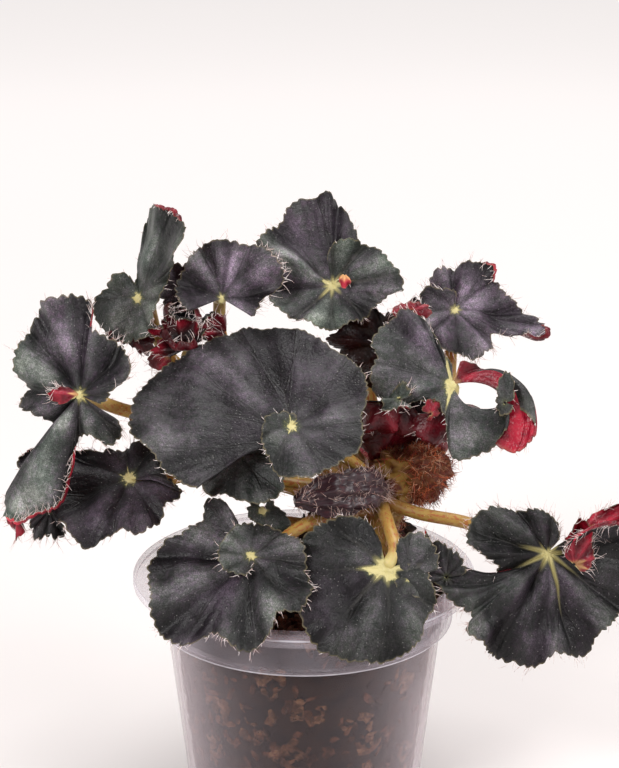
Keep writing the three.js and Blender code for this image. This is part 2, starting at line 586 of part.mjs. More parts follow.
function potGeometry() {
  const step = POT_HEIGHT - COLLAR_HEIGHT;
  const under = POT_HEIGHT - FLANGE_THICKNESS;
  const ringInner = FOOT_RADIUS - FOOT_RING_WIDTH;
  const floor = CHANNEL_HEIGHT + POT_WALL;
  const outside = [
    [0, 0], [PAD_RADIUS, 0], [PAD_RADIUS + PAD_SLOPE, CHANNEL_HEIGHT],
    [ringInner - SLANT, CHANNEL_HEIGHT], [ringInner, 0], [FOOT_RADIUS, 0],
    [BODY_TOP_RADIUS, step], [COLLAR_FOOT_RADIUS, step], [COLLAR_TOP_RADIUS, under],
    [RIM_RADIUS - POT_WALL, under], [RIM_RADIUS - POT_WALL, POT_HEIGHT - RIM_DROP],
    [RIM_RADIUS, POT_HEIGHT - RIM_DROP], [RIM_RADIUS, POT_HEIGHT],
  ];
  const inside = [
    [COLLAR_TOP_RADIUS - POT_WALL, POT_HEIGHT], [COLLAR_FOOT_RADIUS - POT_WALL, step + POT_WALL],
    [bodyRadius(step) - POT_WALL, step + POT_WALL], [bodyRadius(floor) - POT_WALL, floor],
    [PAD_RADIUS + PAD_SLOPE - POT_WALL, floor], [PAD_RADIUS - POT_WALL, POT_WALL], [0, POT_WALL],
  ];
  let solid = toSolid(latheGeometry([...outside, ...inside]));
  for (let k = 0; k < DRAIN_COUNT; k += 1) {
    const angle = (k / DRAIN_COUNT) * 2 * Math.PI;
    const hole = new THREE.CylinderGeometry(DRAIN_RADIUS, DRAIN_RADIUS, 3 * POT_WALL, 10);
    hole.rotateX(Math.PI / 2);
    hole.translate(DRAIN_CIRCLE * Math.cos(angle), DRAIN_CIRCLE * Math.sin(angle), floor - POT_WALL / 2);
    solid = solid.subtract(toSolid(hole));
  }
  return toGeometry(solid);
}

/** The bark mix: it fills the pot and has an uneven top with a hole for the rhizome. */
function soilGeometry() {
  const step = POT_HEIGHT - COLLAR_HEIGHT;
  const top = POT_HEIGHT - SOIL_DEPTH_BELOW_RIM;
  const floor = CHANNEL_HEIGHT + POT_WALL + GAP;
  const inset = POT_WALL + GAP;
  const collar = COLLAR_FOOT_RADIUS - inset - 2 * EASE;
  const body = bodyRadius(step) - inset - EASE;
  const profile = [
    [0, inset], [PAD_RADIUS - inset, inset], [PAD_RADIUS + 2 * EASE, floor],
    [bodyRadius(floor) - inset - EASE, floor], [body, step + inset - SLANT], [body, step + inset],
    [collar, step + inset], [collar, top - POT_WALL], [collar - POT_WALL, top],
    ...SOIL_RINGS.map((share) => [share * collar, top]), [0, top],
  ];
  const geometry = mergedPositions(latheGeometry(profile));
  const position = geometry.getAttribute('position');
  for (let i = 0; i < position.count; i += 1) {
    const [x, y, z] = [position.getX(i), position.getY(i), position.getZ(i)];
    if (z > top - SLANT) {
      const lump = Math.sin(0.31 * x + 1.3) * Math.cos(0.27 * y) + 0.5 * Math.sin(0.7 * x - 0.5 * y);
      const share = Math.hypot(x, y) < SOIL_RINGS[0] * collar + SLANT ? 1 : 0.3;
      position.setZ(i, z + SOIL_LUMP * lump * share);
    }
  }
  const radius = RHIZOME_RADIUS + 2 * GAP;
  const socket = tubeGeometry(rhizomeCurve(), radius, RHIZOME_STEPS, RHIZOME_SIDES);
  const foot = ellipsoid(RHIZOME_ROUTE[0], [radius + GAP, radius + GAP, RHIZOME_FOOT]);
  return toGeometry(toSolid(geometry).subtract(toSolid(socket)).subtract(toSolid(foot)));
}

// ---- the plant in its pot --------------------------------------------------------------------

const plant = new THREE.Group();
const clearPlastic = material(COLOURS.pot, 0.25, { transparent: true, opacity: 0.45 });
plant.add(piece('pot', potGeometry(), clearPlastic));
plant.add(piece('soil', soilGeometry(), material(COLOURS.soil, 0.95)));
plant.add(piece('rhizome', rhizomeGeometry(), material(COLOURS.rhizome, 0.9)));
plant.add(piece('bud', budGeometry(), material(COLOURS.bud, 0.8)));
for (const leaf of LEAVES) {
  const colour = leaf.under ? COLOURS.underside : COLOURS.blade;
  plant.add(piece(`blade_${leaf.name}`, bladeGeometry(leaf), material(colour, 0.7)));
  plant.add(piece(`stalk_${leaf.name}`, stalkGeometry(leaf), material(COLOURS.stalk, 0.6)));
}

export default plant;
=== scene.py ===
"""Looks of a potted begonia: dark spiral leaves on hairy stalks in a clear nursery pot.

Lengths are written in millimetres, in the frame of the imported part, and turned into metres
where a mesh is made. Angles are in degrees.
"""

import math
from types import SimpleNamespace

import bpy
import numpy as np
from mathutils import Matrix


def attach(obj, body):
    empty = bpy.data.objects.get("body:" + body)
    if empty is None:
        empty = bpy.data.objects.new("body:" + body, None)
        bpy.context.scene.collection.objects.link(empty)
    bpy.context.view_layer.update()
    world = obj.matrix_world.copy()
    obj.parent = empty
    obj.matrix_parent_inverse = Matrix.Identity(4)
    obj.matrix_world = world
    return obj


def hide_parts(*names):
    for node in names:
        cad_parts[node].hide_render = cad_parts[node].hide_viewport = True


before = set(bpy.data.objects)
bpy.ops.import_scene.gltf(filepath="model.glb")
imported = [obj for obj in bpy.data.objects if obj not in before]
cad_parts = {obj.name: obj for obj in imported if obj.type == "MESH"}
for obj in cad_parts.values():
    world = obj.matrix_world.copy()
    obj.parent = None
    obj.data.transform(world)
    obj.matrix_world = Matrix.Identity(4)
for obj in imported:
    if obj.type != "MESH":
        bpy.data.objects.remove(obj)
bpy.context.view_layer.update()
BODY = "root"
MM = 0.001
DEGREE = math.pi / 180

# ---- the pot and what fills it ------------------------------------------------------------------

GAP = 0.3
POT_HEIGHT = 82
POT_WALL = 1
RIM_RADIUS = 60
RIM_DROP = 2.7
FLANGE_THICKNESS = 1.2
COLLAR_HEIGHT = 16.5
COLLAR_TOP_RADIUS = 52.6
COLLAR_FOOT_RADIUS = 52.1
BODY_TOP_RADIUS = 48.6
FOOT_RADIUS = 41.2
FOOT_RING_WIDTH = 2.4
PAD_RADIUS = 16
CHANNEL_HEIGHT = 7
DRAIN_RADIUS = 3.5
DRAIN_CIRCLE = 28
DRAIN_COUNT = 8
SOIL_TOP = POT_HEIGHT - 6.5

# ---- the plant ----------------------------------------------------------------------------------

HUB_SINK = 0.7
STALK_REACH = 7
STALK_RADIUS = 2.25
NECK_LIFT = 0.12
LIFT_REACH = 8
PLEAT_REACH = 9
PLEAT_LEVEL = 0.6
BLADE_THICKNESS = 0.6
RHIZOME_ROUTE = [[14, 9, 70], [20, 7, 84], [26, 5, 100], [31, 5, 115]]
RHIZOME_RADIUS = 9
KNOB_CENTRE = [41, 5, 116]
KNOB_RADII = [9.5, 8.5, 9.5]
CROWN_RADIUS = 10
BUD_ROUTE = [[28, -4.2, 114.5], [22, -11, 117], [10, -19, 118], [-3, -24, 117]]
BUD_RADII = [2, 6.4, 6.8, 1.6]

# Each leaf has its form first and then its looks. A rib is [azimuth, length, rise, bend, curl, sweep],
# as in the part's own description: the azimuth turns from the blade's right-hand side towards its top,
# the rib leaves the blade's plane at the rise angle, bends by bend and, near the margin, by curl, and
# its tip sweeps sideways. A stalk is a list of points, and sinus the side from which it meets the star.
# tone goes from grey-green (0) to purple (1). The two settings after it brighten the upper face and the
# underside; each is partly the leaf's own lightness (for the underside, its depth of red) and partly
# painted light and shade. star_size is the radius of the cream star, cream how far the main veins stay
# cream, vein widens them, hair scales the lashes, hairy holds the spans of azimuth with the most of
# them, and relief scales the folds (swell, where given, the broad ones). A roll is [azimuth, half width,
# turn, width of the rolled margin]; it shows the red underside. The stretches of painted light (painted
# highlights and painted shade over both faces) are [azimuth, half width, start, end, share lighter,
# shift of tone], and rays those where the star and the pale veins are longer: [azimuth, half width,
# start, end, share longer].
# A crest is a small extra lobe of the same blade that is folded over, and folded the half of a leaf
# that is folded back. Each has ribs of its own, and whatever else it doesn't say is as in its leaf or
# in PLAIN_CREST; draw is the offset of its random seed.
PLAIN_LEAF = {"underside_light": 1.0, "hairy": [], "painted_light": [], "rays": []}
PLAIN_CREST = {"star_size": 0.1, "painted_light": [], "rolls": []}
LEAVES = [
  {"name": "centre", "star": [-4, -28, 145], "facing": [-4, 60], "lift": -4, "pleat": 0.5, "veins": 7,
   "stalk": [[24.5, 0, 116], [12, -7, 128]],
   "ribs": [[55, 3, 10], [121, 5.5, 10], [171, 8.5, 10], [208, 11, 6], [244, 15.5, 2], [262, 20.5],
     [289, 22.5], [320, 22], [340, 24], [372, 23.5], [394, 29.5], [415, 36], [434, 39],
     [448, 44.5, 6, -12], [470, 49.5, 6, -12], [489, 51], [511, 53.5], [527, 55.5], [539, 54.5],
     [554, 46.5], [567, 43.5], [573, 39, 0, 0, 0, 9]],
   "tone": 0.6, "light": 0.53, "star_size": 3.4, "cream": 2.2, "hair": 0.3, "relief": 1.0,
   "rays": [[560, 30, -9, 30, 0.8]],
   "painted_light": [[200, 110, 0, 40, 0.35, -0.4], [372, 24, 8, 40, 0.6, -0.1], [410, 20, 3, 30, -0.35, 0.5],
     [450, 34, 12, 48, -0.42, 0.35], [505, 20, 22, 60, 0.5, 0.1], [540, 22, 30, 60, 0.45, -0.1],
     [566, 26, 2, 24, -0.55, 0.6], [530, 22, 3, 20, -0.3, 0.7]]},
  {"name": "top", "star": [10, 30, 177.5], "facing": [-3, 44], "lift": 5, "pleat": 0.7, "veins": 8,
   "stalk": [[27, 12.5, 117], [24, 46, 132], [17, 48, 156]],
   "ribs": [[63, 19.5, 6], [79, 27.5, 8], [88, 33, 8], [95, 36, 8, 12], [107, 34, 8], [118, 34, 8],
     [130, 30, 8], [150, 32, 10, 20], [162, 27], [183, 23.5], [199, 22], [219, 19.5], [240, 16.5],
     [273, 17, 0, -10], [305, 16, 0, -10], [330, 17.5], [342, 19.5, 5], [349, 25.5, 10],
     [358, 25.5, 15], [371, 22.5, 20], [392, 20, 25], [415, 17.5, 30, 20], [444, 14.5, 35, 20],
     [466, 8.5, 35, 10]],
   "tone": 0.5, "light": 1.05, "star_size": 3.4, "cream": 5, "vein": 1.5, "hair": 0.35, "relief": 1.6,
   "hairy": [[150, 200], [342, 360]],
   "rays": [[240, 50, -9, 30, 0.5], [150, 14, -9, 30, 1.2], [372, 12, -9, 30, 0.9]],
   "painted_light": [[95, 26, 0, 40, -0.45, 0.5], [128, 14, 14, 40, -0.1, 0.6], [152, 14, 4, 40, 0.9, -0.3],
     [178, 12, 4, 30, -0.4, 0.3], [205, 18, 3, 30, 0.7, -0.3], [262, 40, 4, 30, 0.95, -0.6],
     [330, 14, 0, 30, -0.35, 0.1], [372, 16, 4, 30, 0.5, -0.4], [430, 44, 2, 30, 0.45, -0.5],
     [438, 20, 2, 9, -0.5, 0]],
   "crests": [
     {"star": [14.2, 25, 183.2], "facing": [170, -14], "underside_light": 1.7, "rays": [], "hairy": [],
      "star_size": 3.0,
      "ribs": [[215, 2.2], [240, 3.6], [262, 4.6], [285, 4.4], [310, 2.6], [340, 1.8]]}]},
  {"name": "plum", "star": [-28.5, 17, 176.5], "facing": [8, 18], "lift": -3, "pleat": 0.9, "veins": 7,
   "stalk": [[23.5, 9, 114], [2, 15, 140], [-27, 17, 158]],
   "ribs": [[326, 12, 10, -10], [355, 14, 5], [374, 22.5, 5, 0, 20], [394, 23.5, 5, 0, 20],
     [410, 22.5, 5], [427, 20], [450, 20.5], [471, 19], [487, 18, 5], [508, 16.5, 10],
     [536, 17.5, 20, 10], [559, 17, 30, 20]],
   "tone": 0.8, "light": 1.5, "star_size": 1.6, "cream": 2, "hair": 1.0, "relief": 1.5, "swell": 2.4,
   "hairy": [[355, 412], [540, 560]],
   "painted_light": [[400, 14, 8, 30, -0.3, 0], [425, 14, 4, 30, 0.5, 0.1], [440, 9, 2, 30, -0.5, 0.2],
     [480, 24, 6, 30, 0.35, -0.2], [535, 20, 2, 30, -0.35, 0]],
   "crests": [
     {"star": [-42.9, 19.5, 178.6], "light": 0.8, "cream": 0.1, "painted_light": [[300, 50, 0, 20, 0.6, -0.4]],
      "hairy": [[100, 330]], "relief": 2,
      "ribs": [[0, 6], [45, 7.5], [80, 8.5], [110, 10], [140, 8.5], [175, 7.5], [215, 7], [250, 6.5],
        [290, 7], [330, 6]]}]},
  {"name": "spire", "star": [-57, 14, 177.5], "facing": [-20, 22], "lift": -3, "pleat": 0.5, "veins": 6,
   "stalk": [[20.5, 6.5, 106], [-16, 16, 131], [-49, 20, 157]],
   "ribs": [[302, 12.5], [349, 8.5, 5], [388, 15.5, 20, 10], [398, 28, 24, 18], [410, 36, 20, 12],
     [422, 36, 15, 12], [434, 33.5, 8, 10], [446, 32, 0, 6], [456, 28, -10, 5], [461, 15, -12, 5],
     [469, 5, -5], [493, 11, 5], [528, 13], [559, 19, 0, -10], [582, 18.5, 0, -20], [611, 16, 0, -30],
     [643, 14, 0, -20], [664, 11.5, 0, -10]],
   "tone": 0.1, "light": 1.25, "star_size": 2.6, "cream": 2.5, "hair": 0.4, "relief": 1.8,
   "rolls": [[428, 14, 150, 3], [603, 14, 130, 3.5]],
   "painted_light": [[440, 16, 12, 26, 0.6, -0.1], [425, 20, 24, 40, -0.5, 0.2], [400, 14, 4, 30, -0.4, 0.1],
     [600, 24, 4, 16, 0.6, 0], [560, 20, 8, 30, -0.4, 0]],
   "crests": [
     {"star": [-60.2, 16, 165.2], "facing": [175, -20], "underside_light": 0.2, "hairy": [[200, 360]],
      "relief": 2.4,
      "ribs": [[172, 6], [200, 8.5], [222, 10.5], [242, 9], [264, 5], [290, 4.5], [318, 6], [342, 8],
        [360, 6.5]]}]},
  {"name": "left", "star": [-75, -18, 153], "facing": [-14, 22], "lift": -4, "pleat": 1, "veins": 8,
   "stalk": [[21.5, 3.5, 110], [-20, 6, 132], [-60, 0, 141]],
   "ribs": [[343, 9, 10], [373, 14, 5], [385, 20.5, 5], [398, 21.5, 0, 0, 0, 8], [419, 21, 0, 0, 0, 8],
     [438, 22.5, 0, 0, 0, 6], [446, 31.5, 0, 0, 0, 4], [462, 33.5], [476, 33.5], [487, 30], [511, 26.5],
     [524, 24], [538, 19.5], [554, 22.5, 0, -10], [566, 17, 0, -10], [584, 15, -10, -20],
     [594, 51, 10, -50], [603, 54, 10, -60], [611, 46, 10, -60], [620, 40, 10, -55], [628, 14, 10, -40],
     [650, 13.5, 10, -50], [662, 18.5, 10, -60], [689, 14.5, 10, -60]],
   "tone": 0.55, "light": 1.15, "underside_light": 1.3, "star_size": 3.0, "cream": 3, "hair": 1.0, "relief": 2.1,
   "hairy": [[373, 450], [600, 690]], "rolls": [[605, 7, 190, 5], [618, 6, 170, 4.5], [668, 20, 60, 3]],
   "painted_light": [[605, 16, 6, 60, 1.25, -0.5], [450, 12, 6, 40, -0.35, 0.6], [470, 9, 8, 40, 0.55, 0.3],
     [486, 7, 6, 40, -0.45, 0.2], [520, 26, 8, 40, 0.35, -0.5], [410, 18, 6, 30, 0.2, 0.1],
     [385, 9, 4, 30, -0.35, 0.1], [655, 30, 3, 30, 0.5, -0.3]],
   "crests": [
     {"star": [-98, -14, 110], "facing": [150, -14], "underside_light": 0.7, "cream": 0.1, "relief": 3,
      "veins": 11, "hairy": [[200, 400]],
      "ribs": [[235, 4], [255, 8, 0, 30], [272, 11, 0, 40], [290, 8, 0, 40], [312, 5]]},
     {"star": [-87, -13.5, 110], "facing": [-20, 4], "light": 0.35, "cream": 0.1, "relief": 3,
      "veins": 11, "hairy": [[200, 400]],
      "ribs": [[205, 6], [228, 9, 0, 30], [250, 11, 0, 40], [272, 9, 0, 40], [292, 11, 0, 40],
        [318, 7]]},
     {"facing": [166, -22], "hairy": [[300, 400]], "star_size": 3.0,
      "painted_light": [[385, 9, 4, 30, -0.35, 0.1]],
      "ribs": [[318, 5, -25], [333, 10, -30, 0, -50], [346, 12.5, -35, 0, -60], [358, 12, -35, 0, -60],
        [372, 9, -30, 0, -40], [390, 4, -20]]}]},
  {"name": "low", "star": [-60.5, -2, 117], "facing": [-6, 62], "lift": -3, "pleat": 0.6, "veins": 7,
   "stalk": [[19.5, 2, 102], [-12, 3, 114], [-42, 4, 116]],
   "ribs": [[345, 19.5], [360, 13, 5], [391, 12.5, 15, 10], [441, 12.5, 20, 10], [477, 11, 15],
     [511, 19.5, 5], [520, 36], [533, 39.5], [559, 33.5], [584, 28.5, 0, -10], [607, 31, 0, -10],
     [618, 24, 0, -10], [629, 21, 0, -10], [645, 24, 0, -10], [671, 20], [687, 17], [708, 19],
     [730, 14]],
   "tone": 0.9, "light": 0.5, "star_size": 4.0, "cream": 2.2, "hair": 0.6, "relief": 1.4,
   "rolls": [[520, 14, 130, 4]],
   "painted_light": [[400, 60, 0, 30, -0.75, -0.3], [545, 30, 0, 50, -0.6, 0], [600, 20, 10, 40, 0.5, 0.1],
     [650, 30, 4, 40, 0.9, 0]]},
  {"name": "front_left", "star": [-17.5, -46, 106], "facing": [-8, 48], "lift": 4, "pleat": 0.7,
   "veins": 8, "stalk": [[23.5, -1, 106], [2, -20, 108], [-9, -33, 105]],
   "ribs": [[114, 16], [121, 24.5], [129, 28], [142, 23.5], [160, 24.5], [174, 31], [189, 34.5],
     [203, 34.5], [213, 37], [226, 38.5, 0, -10], [240, 35, 0, -15], [250, 28, 0, -10],
     [259, 29, 0, -10], [273, 31.5, 0, -15], [288, 27.5, 0, -10], [301, 21.5, 0, -10], [317, 25.5],
     [332, 24.5], [349, 19], [378, 17.5], [406, 13], [434, 12.5, 5], [466, 11.5, 10], [508, 10, 10],
     [538, 10.5, 10], [587, 10, 10], [624, 8.5, 10], [660, 4.5, 10]],
   "tone": 0.45, "light": 0.78, "star_size": 2.6, "cream": 2, "hair": 0.5, "relief": 1.5,
   "hairy": [[317, 352]],
   "painted_light": [[540, 130, 0, 30, 0.45, -0.2], [150, 20, 8, 40, 0.7, 0], [180, 14, 6, 40, -0.45, 0.5],
     [200, 14, 8, 40, 0.5, 0], [238, 24, 5, 40, -0.35, 0.6], [300, 20, 10, 40, 0.5, -0.2]]},
  {"name": "front_right", "star": [27, -44, 101], "facing": [6, 46], "lift": -3, "pleat": 0.6,
   "veins": 8, "sinus": 58, "stalk": [[27.5, -3, 107], [27.5, -15, 109.5], [29, -30, 109]],
   "ribs": [[96, 9, 10], [104, 15, 10], [123, 21.5, 8], [145, 26.5, 5], [161, 29.5], [185, 31],
     [206, 33, 0, -4], [227, 35, 0, -8], [246, 33, 0, -16], [271, 30, 0, -20], [291, 26.5, 0, -15],
     [304, 21.5, 0, -10], [322, 20], [345, 14.5, 5], [372, 13.5, 10]],
   "tone": 0.4, "light": 0.37, "star_size": 6.3, "cream": 7, "vein": 2.2, "hair": 0.2, "relief": 1.3,
   "rays": [[190, 30, -9, 40, 0.9], [290, 30, -9, 40, 0.3]],
   "painted_light": [[205, 30, 6, 40, -0.35, 0.7], [250, 20, 12, 40, 0.5, -0.1], [290, 14, 8, 40, 0.6, -0.2],
     [150, 20, 8, 40, 0.3, -0.1], [335, 30, 3, 30, -0.3, -0.2]],
   "crests": [
     {"star": [35, -45.5, 98.5], "star_size": 1.8, "light": 0.8, "vein": 0.8, "rays": [], "cream": 2.2,
      "ribs": [[10, 9], [45, 13, 8], [75, 15, 12], [100, 13, 12], [125, 8, 8], [180, 5], [230, 6],
        [290, 7], [340, 8]]}]},
  {"name": "right", "star": [83, -22, 97.5], "facing": [12, 30], "lift": -4, "pleat": 1.2, "veins": 9,
   "stalk": [[27.5, -3, 109], [40, -8, 106.5], [58, -8.5, 102.7]],
   "ribs": [[51, 5, 20], [76, 11.5, 15], [101, 15, 10], [124, 18, 5], [135, 24, 5], [151, 28.5, 5],
     [166, 29.5, 5], [176, 26, 5], [184, 20, 5], [192, 18.5, 3], [200, 20.5], [204, 44, 0, 10, 0, -38],
     [207, 42.5, 0, 0, 0, -22], [210, 38.5, 0, 0, 0, -10], [213, 34], [217, 40, 0, -10],
     [228, 39, 0, -20], [248, 39, 0, -30], [259, 39.5, 0, -30], [270, 34, 0, -20], [287, 37.5, 0, -20],
     [299, 32, 0, -10], [317, 32.5], [339, 34], [359, 31, 10], [379, 31, 40, 30], [395, 34, 70, 40]],
   "tone": 0.55, "light": 0.55, "underside_light": 1.4, "star_size": 4.6, "cream": 12, "vein": 1.9, "hair": 1.0,
   "relief": 2.3, "hairy": [[76, 204], [355, 395]], "rolls": [[388, 22, 120, 7]],
   "rays": [[85, 70, -9, 60, -0.85], [354, 16, -9, 60, 0.9], [285, 16, -9, 60, 0.4]],
   "painted_light": [[215, 12, 10, 45, 0.6, -0.3], [232, 8, 6, 45, -0.5, 0.5], [246, 7, 14, 45, 0.7, 0.2],
     [260, 7, 6, 45, -0.6, 0.7], [272, 7, 10, 45, 0.8, 0], [290, 10, 8, 45, -0.4, 0.4],
     [310, 12, 14, 45, 0.5, -0.3], [150, 30, 6, 30, 0.2, -0.3], [350, 20, 6, 40, -0.4, -0.2],
     [186, 16, 8, 60, -0.8, 0]],
   "crests": [
     {"star": [91.5, -27, 95.5], "facing": [186, -12], "hairy": [[95, 230]],
      "painted_light": [[90, 300, -9, 4, -0.4, 0]], "relief": 1.6, "underside_light": 1.1, "star_size": 4.6,
      "ribs": [[40, 3], [66, 8, -4, 0, -30], [82, 14, -6, 0, -40], [94, 17.5, -8, 0, -40],
        [106, 16, -10, 0, -50], [124, 11, -12, 0, -50], [150, 8, -10, 0, -40], [190, 5.5, -5],
        [230, 3]]},
     {"star": [47.8, -34, 93.8], "facing": [12, 30], "hairy": [[0, 110]], "cream": 0.1, "rays": [],
      "relief": 1.4,
      "ribs": [[0, 6], [40, 7.5], [70, 9, 5], [92, 11, 8], [112, 12.5, 8], [132, 11, 8], [160, 8.5],
        [200, 8], [250, 6], [300, 5], [340, 5]]},
     {"star": [96, -22, 106], "facing": [186, -12], "hairy": [[95, 230]], "relief": 1.6, "underside_light": 0.9,
      "star_size": 4.6,
      "ribs": [[80, 2], [110, 5, 0, 0, -30], [136, 10, 0, 0, -40], [150, 17, 0, 0, -40],
        [162, 16, 0, 0, -40], [180, 8], [230, 2.5]]}]},
  {"name": "grey", "star": [50.5, -4, 152], "facing": [-4, 42], "lift": -3, "pleat": 0.5, "veins": 7,
   "stalk": [[41, 12.5, 118.5], [44, 17.5, 131]],
   "ribs": [[91, 6.5, 10], [105, 11, 5], [111, 20], [116, 30], [123, 33], [140, 32.5], [152, 32],
     [160, 27.5], [174, 28], [187, 26, 0, -10], [199, 18.5, 0, -20], [208, 11.5, 0, -10],
     [231, 7.5, 0, -10], [260, 12, 0, -20], [270, 26.5, 0, -30, 0, 4], [279, 25.5, 0, -30, 0, 19],
     [287, 24.5, 0, -20, 0, 32], [295, 18, 0, -10, 0, 49]],
   "tone": 0.3, "light": 1.25, "underside_light": 0.95, "star_size": 4.4, "cream": 5, "hair": 0.6, "relief": 1.8,
   "hairy": [[105, 130]], "rays": [[105, 14, -9, 30, 0.8], [250, 30, -9, 30, 0.8]],
   "painted_light": [[125, 16, 8, 40, -0.35, 0.6], [150, 14, 6, 40, 0.5, 0], [168, 10, 6, 40, -0.3, 0.2],
     [186, 14, 6, 40, 0.5, 0], [280, 10, 8, 30, 0.5, 0], [294, 10, 8, 30, -0.35, 0]],
   "folded": {"facing": [176, -38], "underside_light": 0.6, "draw": 14,
     "ribs": [[108, 8, 0, -10], [118, 10, 0, -10, 0, 12], [126, 11.5, 0, -10, 0, 22],
       [132, 15, 0, -10, 0, 38], [138, 19, 0, -10, 0, 50], [143, 24, 0, -10, 0, 58],
       [148, 33, 0, -10, 0, 62], [153, 34, 0, -10, 0, 70], [158, 31, 0, -10, 0, 75],
       [162, 27, 0, -10, 0, 74], [168, 24.5, 0, -10, 0, 50]]},
   "crests": [
     {"star": [67.7, -15, 149.2], "facing": [-24, 24], "light": 0.8, "rays": [], "cream": 0.1,
      "hairy": [], "relief": 0.7, "painted_light": [[95, 30, 5, 20, 0.9, 0], [270, 90, -9, 9, -0.5, 0]],
      "ribs": [[20, 3], [55, 4.5], [80, 8.5], [95, 10.5], [110, 8.5], [140, 4], [180, 3], [230, 3.5],
        [270, 4.5], [310, 3.5], [350, 3]]},
     {"star": [37.6, 20.0, 171.1], "facing": [175, -10], "hairy": [[-20, 200]], "underside_light": 1.0,
      "relief": 2,
      "ribs": [[-30, 4], [-10, 7], [12, 6], [45, 3.5], [90, 3], [135, 3.6], [168, 6], [192, 6.5],
        [215, 3]]},
     {"star": [32.3, -7.0, 147.8], "facing": [-4, 64], "cream": 0.1, "tone": 0.05, "light": 1.35,
      "hairy": [[180, 340]], "relief": 3,
      "ribs": [[0, 4], [60, 4.5], [120, 4.5], [180, 5.5], [215, 6.2], [250, 4.8], [290, 5.6], [330, 5]]}]},
  {"name": "upper_right", "star": [53, 30, 168.5], "facing": [4, 44], "lift": -4, "pleat": 0.8,
   "veins": 8, "stalk": [[46.5, 10, 115], [51, 23, 138]],
   "ribs": [[80, 5, 30], [127, 9, 25], [153, 13, 10], [199, 11.5], [234, 16, 0, -10],
     [263, 15.5, 0, -10], [290, 19.5, 0, -15], [308, 19.5, 0, -10], [324, 15.5, 0, -5],
     [335, 26.5, 0, -10], [342, 35, 0, -10, 20], [354, 29], [371, 22], [394, 18, 5],
     [404, 22.5, 15, 20], [430, 19.5, 15, 20], [447, 16.5, 15], [470, 16.5, 10], [488, 13, 5]],
   "tone": 0.85, "light": 1.6, "star_size": 2.0, "cream": 2.5, "hair": 0.8, "relief": 2.0,
   "hairy": [[120, 200], [250, 346], [225, 245], [400, 440]],
   "rolls": [[342, 7, 160, 5], [404, 12, 160, 2.5]],
   "painted_light": [[425, 24, 12, 30, -0.6, 0.2], [445, 16, 2, 12, -0.4, 0.1], [360, 16, 6, 40, 0.4, 0.1],
     [335, 9, 6, 40, -0.3, 0], [285, 20, 4, 30, -0.15, -0.2], [180, 40, 2, 30, 0.25, -0.2]]},
  {"name": "red", "star": [37.5, 6, 144.5], "facing": [180, 14], "lift": 0, "pleat": 0.4, "veins": 6,
   "sinus": 90, "under": True, "stalk": [[37, 11, 119], [40, 21.5, 136]],
   "ribs": [[198, 17, -30, 40], [221, 23, -30, 60], [236, 25.5, -30, 60], [250, 26, -35, 70],
     [259, 22.5, -30, 60], [266, 20, -20, 40], [275, 23.5, -30, 60], [286, 25.5, -30, 60],
     [294, 25.5, -20, 40], [302, 28.5, -30, 60], [316, 28, -30, 60], [336, 21, -30, 60],
     [358, 15.5, -20, 40]],
   "tone": 0.8, "light": 0.6, "underside_light": 0.38, "star_size": 2.0, "cream": 4, "hair": 0.8, "relief": 3.0,
   "swell": 2, "painted_light": [[280, 200, -9, 9, -0.85, 0]],
   "crests": [
     {"star": [26.5, -1, 144.5], "facing": [172, -6], "relief": 2.4, "underside_light": 0.44,
      "painted_light": [[270, 300, -9, 3, -0.7, 0], [300, 14, 3, 30, -0.4, 0]], "hairy": [[225, 300]],
      "ribs": [[150, 4], [190, 6, -10, 50], [222, 10, -20, 60, 40], [246, 14, -24, 70, 40],
        [266, 14.5, -24, 70, 40], [282, 11.5, -22, 60, 40], [296, 14, -22, 60, 40], [316, 9, -10, 50],
        [350, 5.5]]},
     {"star": [34.5, 0, 143], "facing": [182, -4], "relief": 2.4, "underside_light": 0.34,
      "painted_light": [[270, 300, -9, 4, -0.7, 0]], "hairy": [[225, 300]],
      "ribs": [[200, 4], [236, 8, -15, 50], [256, 13, -20, 60, 40], [272, 14, -20, 60, 40],
        [290, 12, -20, 60, 40], [312, 8, -10, 50], [340, 4]]},
     {"star": [45.5, -3.5, 142.5], "facing": [186, -10], "relief": 2.2, "underside_light": 0.3,
      "painted_light": [[270, 300, -9, 3, -0.6, 0], [268, 16, 4, 30, 0.5, 0]], "hairy": [[215, 320]],
      "ribs": [[150, 3], [190, 6.5, -10, 40], [214, 11, -22, 70, 30], [236, 14, -26, 80, 30],
        [262, 14.5, -28, 80, 30], [286, 14, -26, 80, 30], [306, 13, -24, 70, 30], [328, 10, -20, 60],
        [352, 6, -10]]},
     {"star": [43, -8.5, 143], "facing": [186, -14], "relief": 2.0, "underside_light": 0.8, "hairy": [],
      "ribs": [[20, 2.5], [60, 4.2], [95, 4.6], [130, 4.4], [165, 3], [230, 1.8], [300, 2]]}]},
  # The curl's upper face is kept dark as painted shade inside its cup, and its first crest turns nearly
  # black towards its star: painted shade in the hollow.
  {"name": "curl", "star": [-40.5, 14, 159.5], "facing": [-6, 60], "lift": 0, "pleat": 0.5, "veins": 6,
   "stalk": [[22.5, 11, 105], [-2, 26, 128], [-31, 24, 147]],
   "ribs": [[0, 14, 40, 10, 110], [20, 19, 40, 10, 110], [45, 15, 40, 10, 110], [75, 19, 40, 10, 110],
     [105, 16, 40, 10, 110], [135, 19, 40, 10, 110], [165, 15, 40, 10, 110], [195, 17, 40, 10, 110],
     [225, 13, 40, 10, 100], [255, 13, 40, 10, 100], [285, 11, 40, 10, 90], [315, 13, 40, 10, 100]],
   "tone": 0.9, "light": 0.25, "underside_light": 0.4, "star_size": 0.1, "cream": 0.1, "hair": 1.0, "relief": 2.0,
   "hairy": [[-30, 400]],
   "crests": [
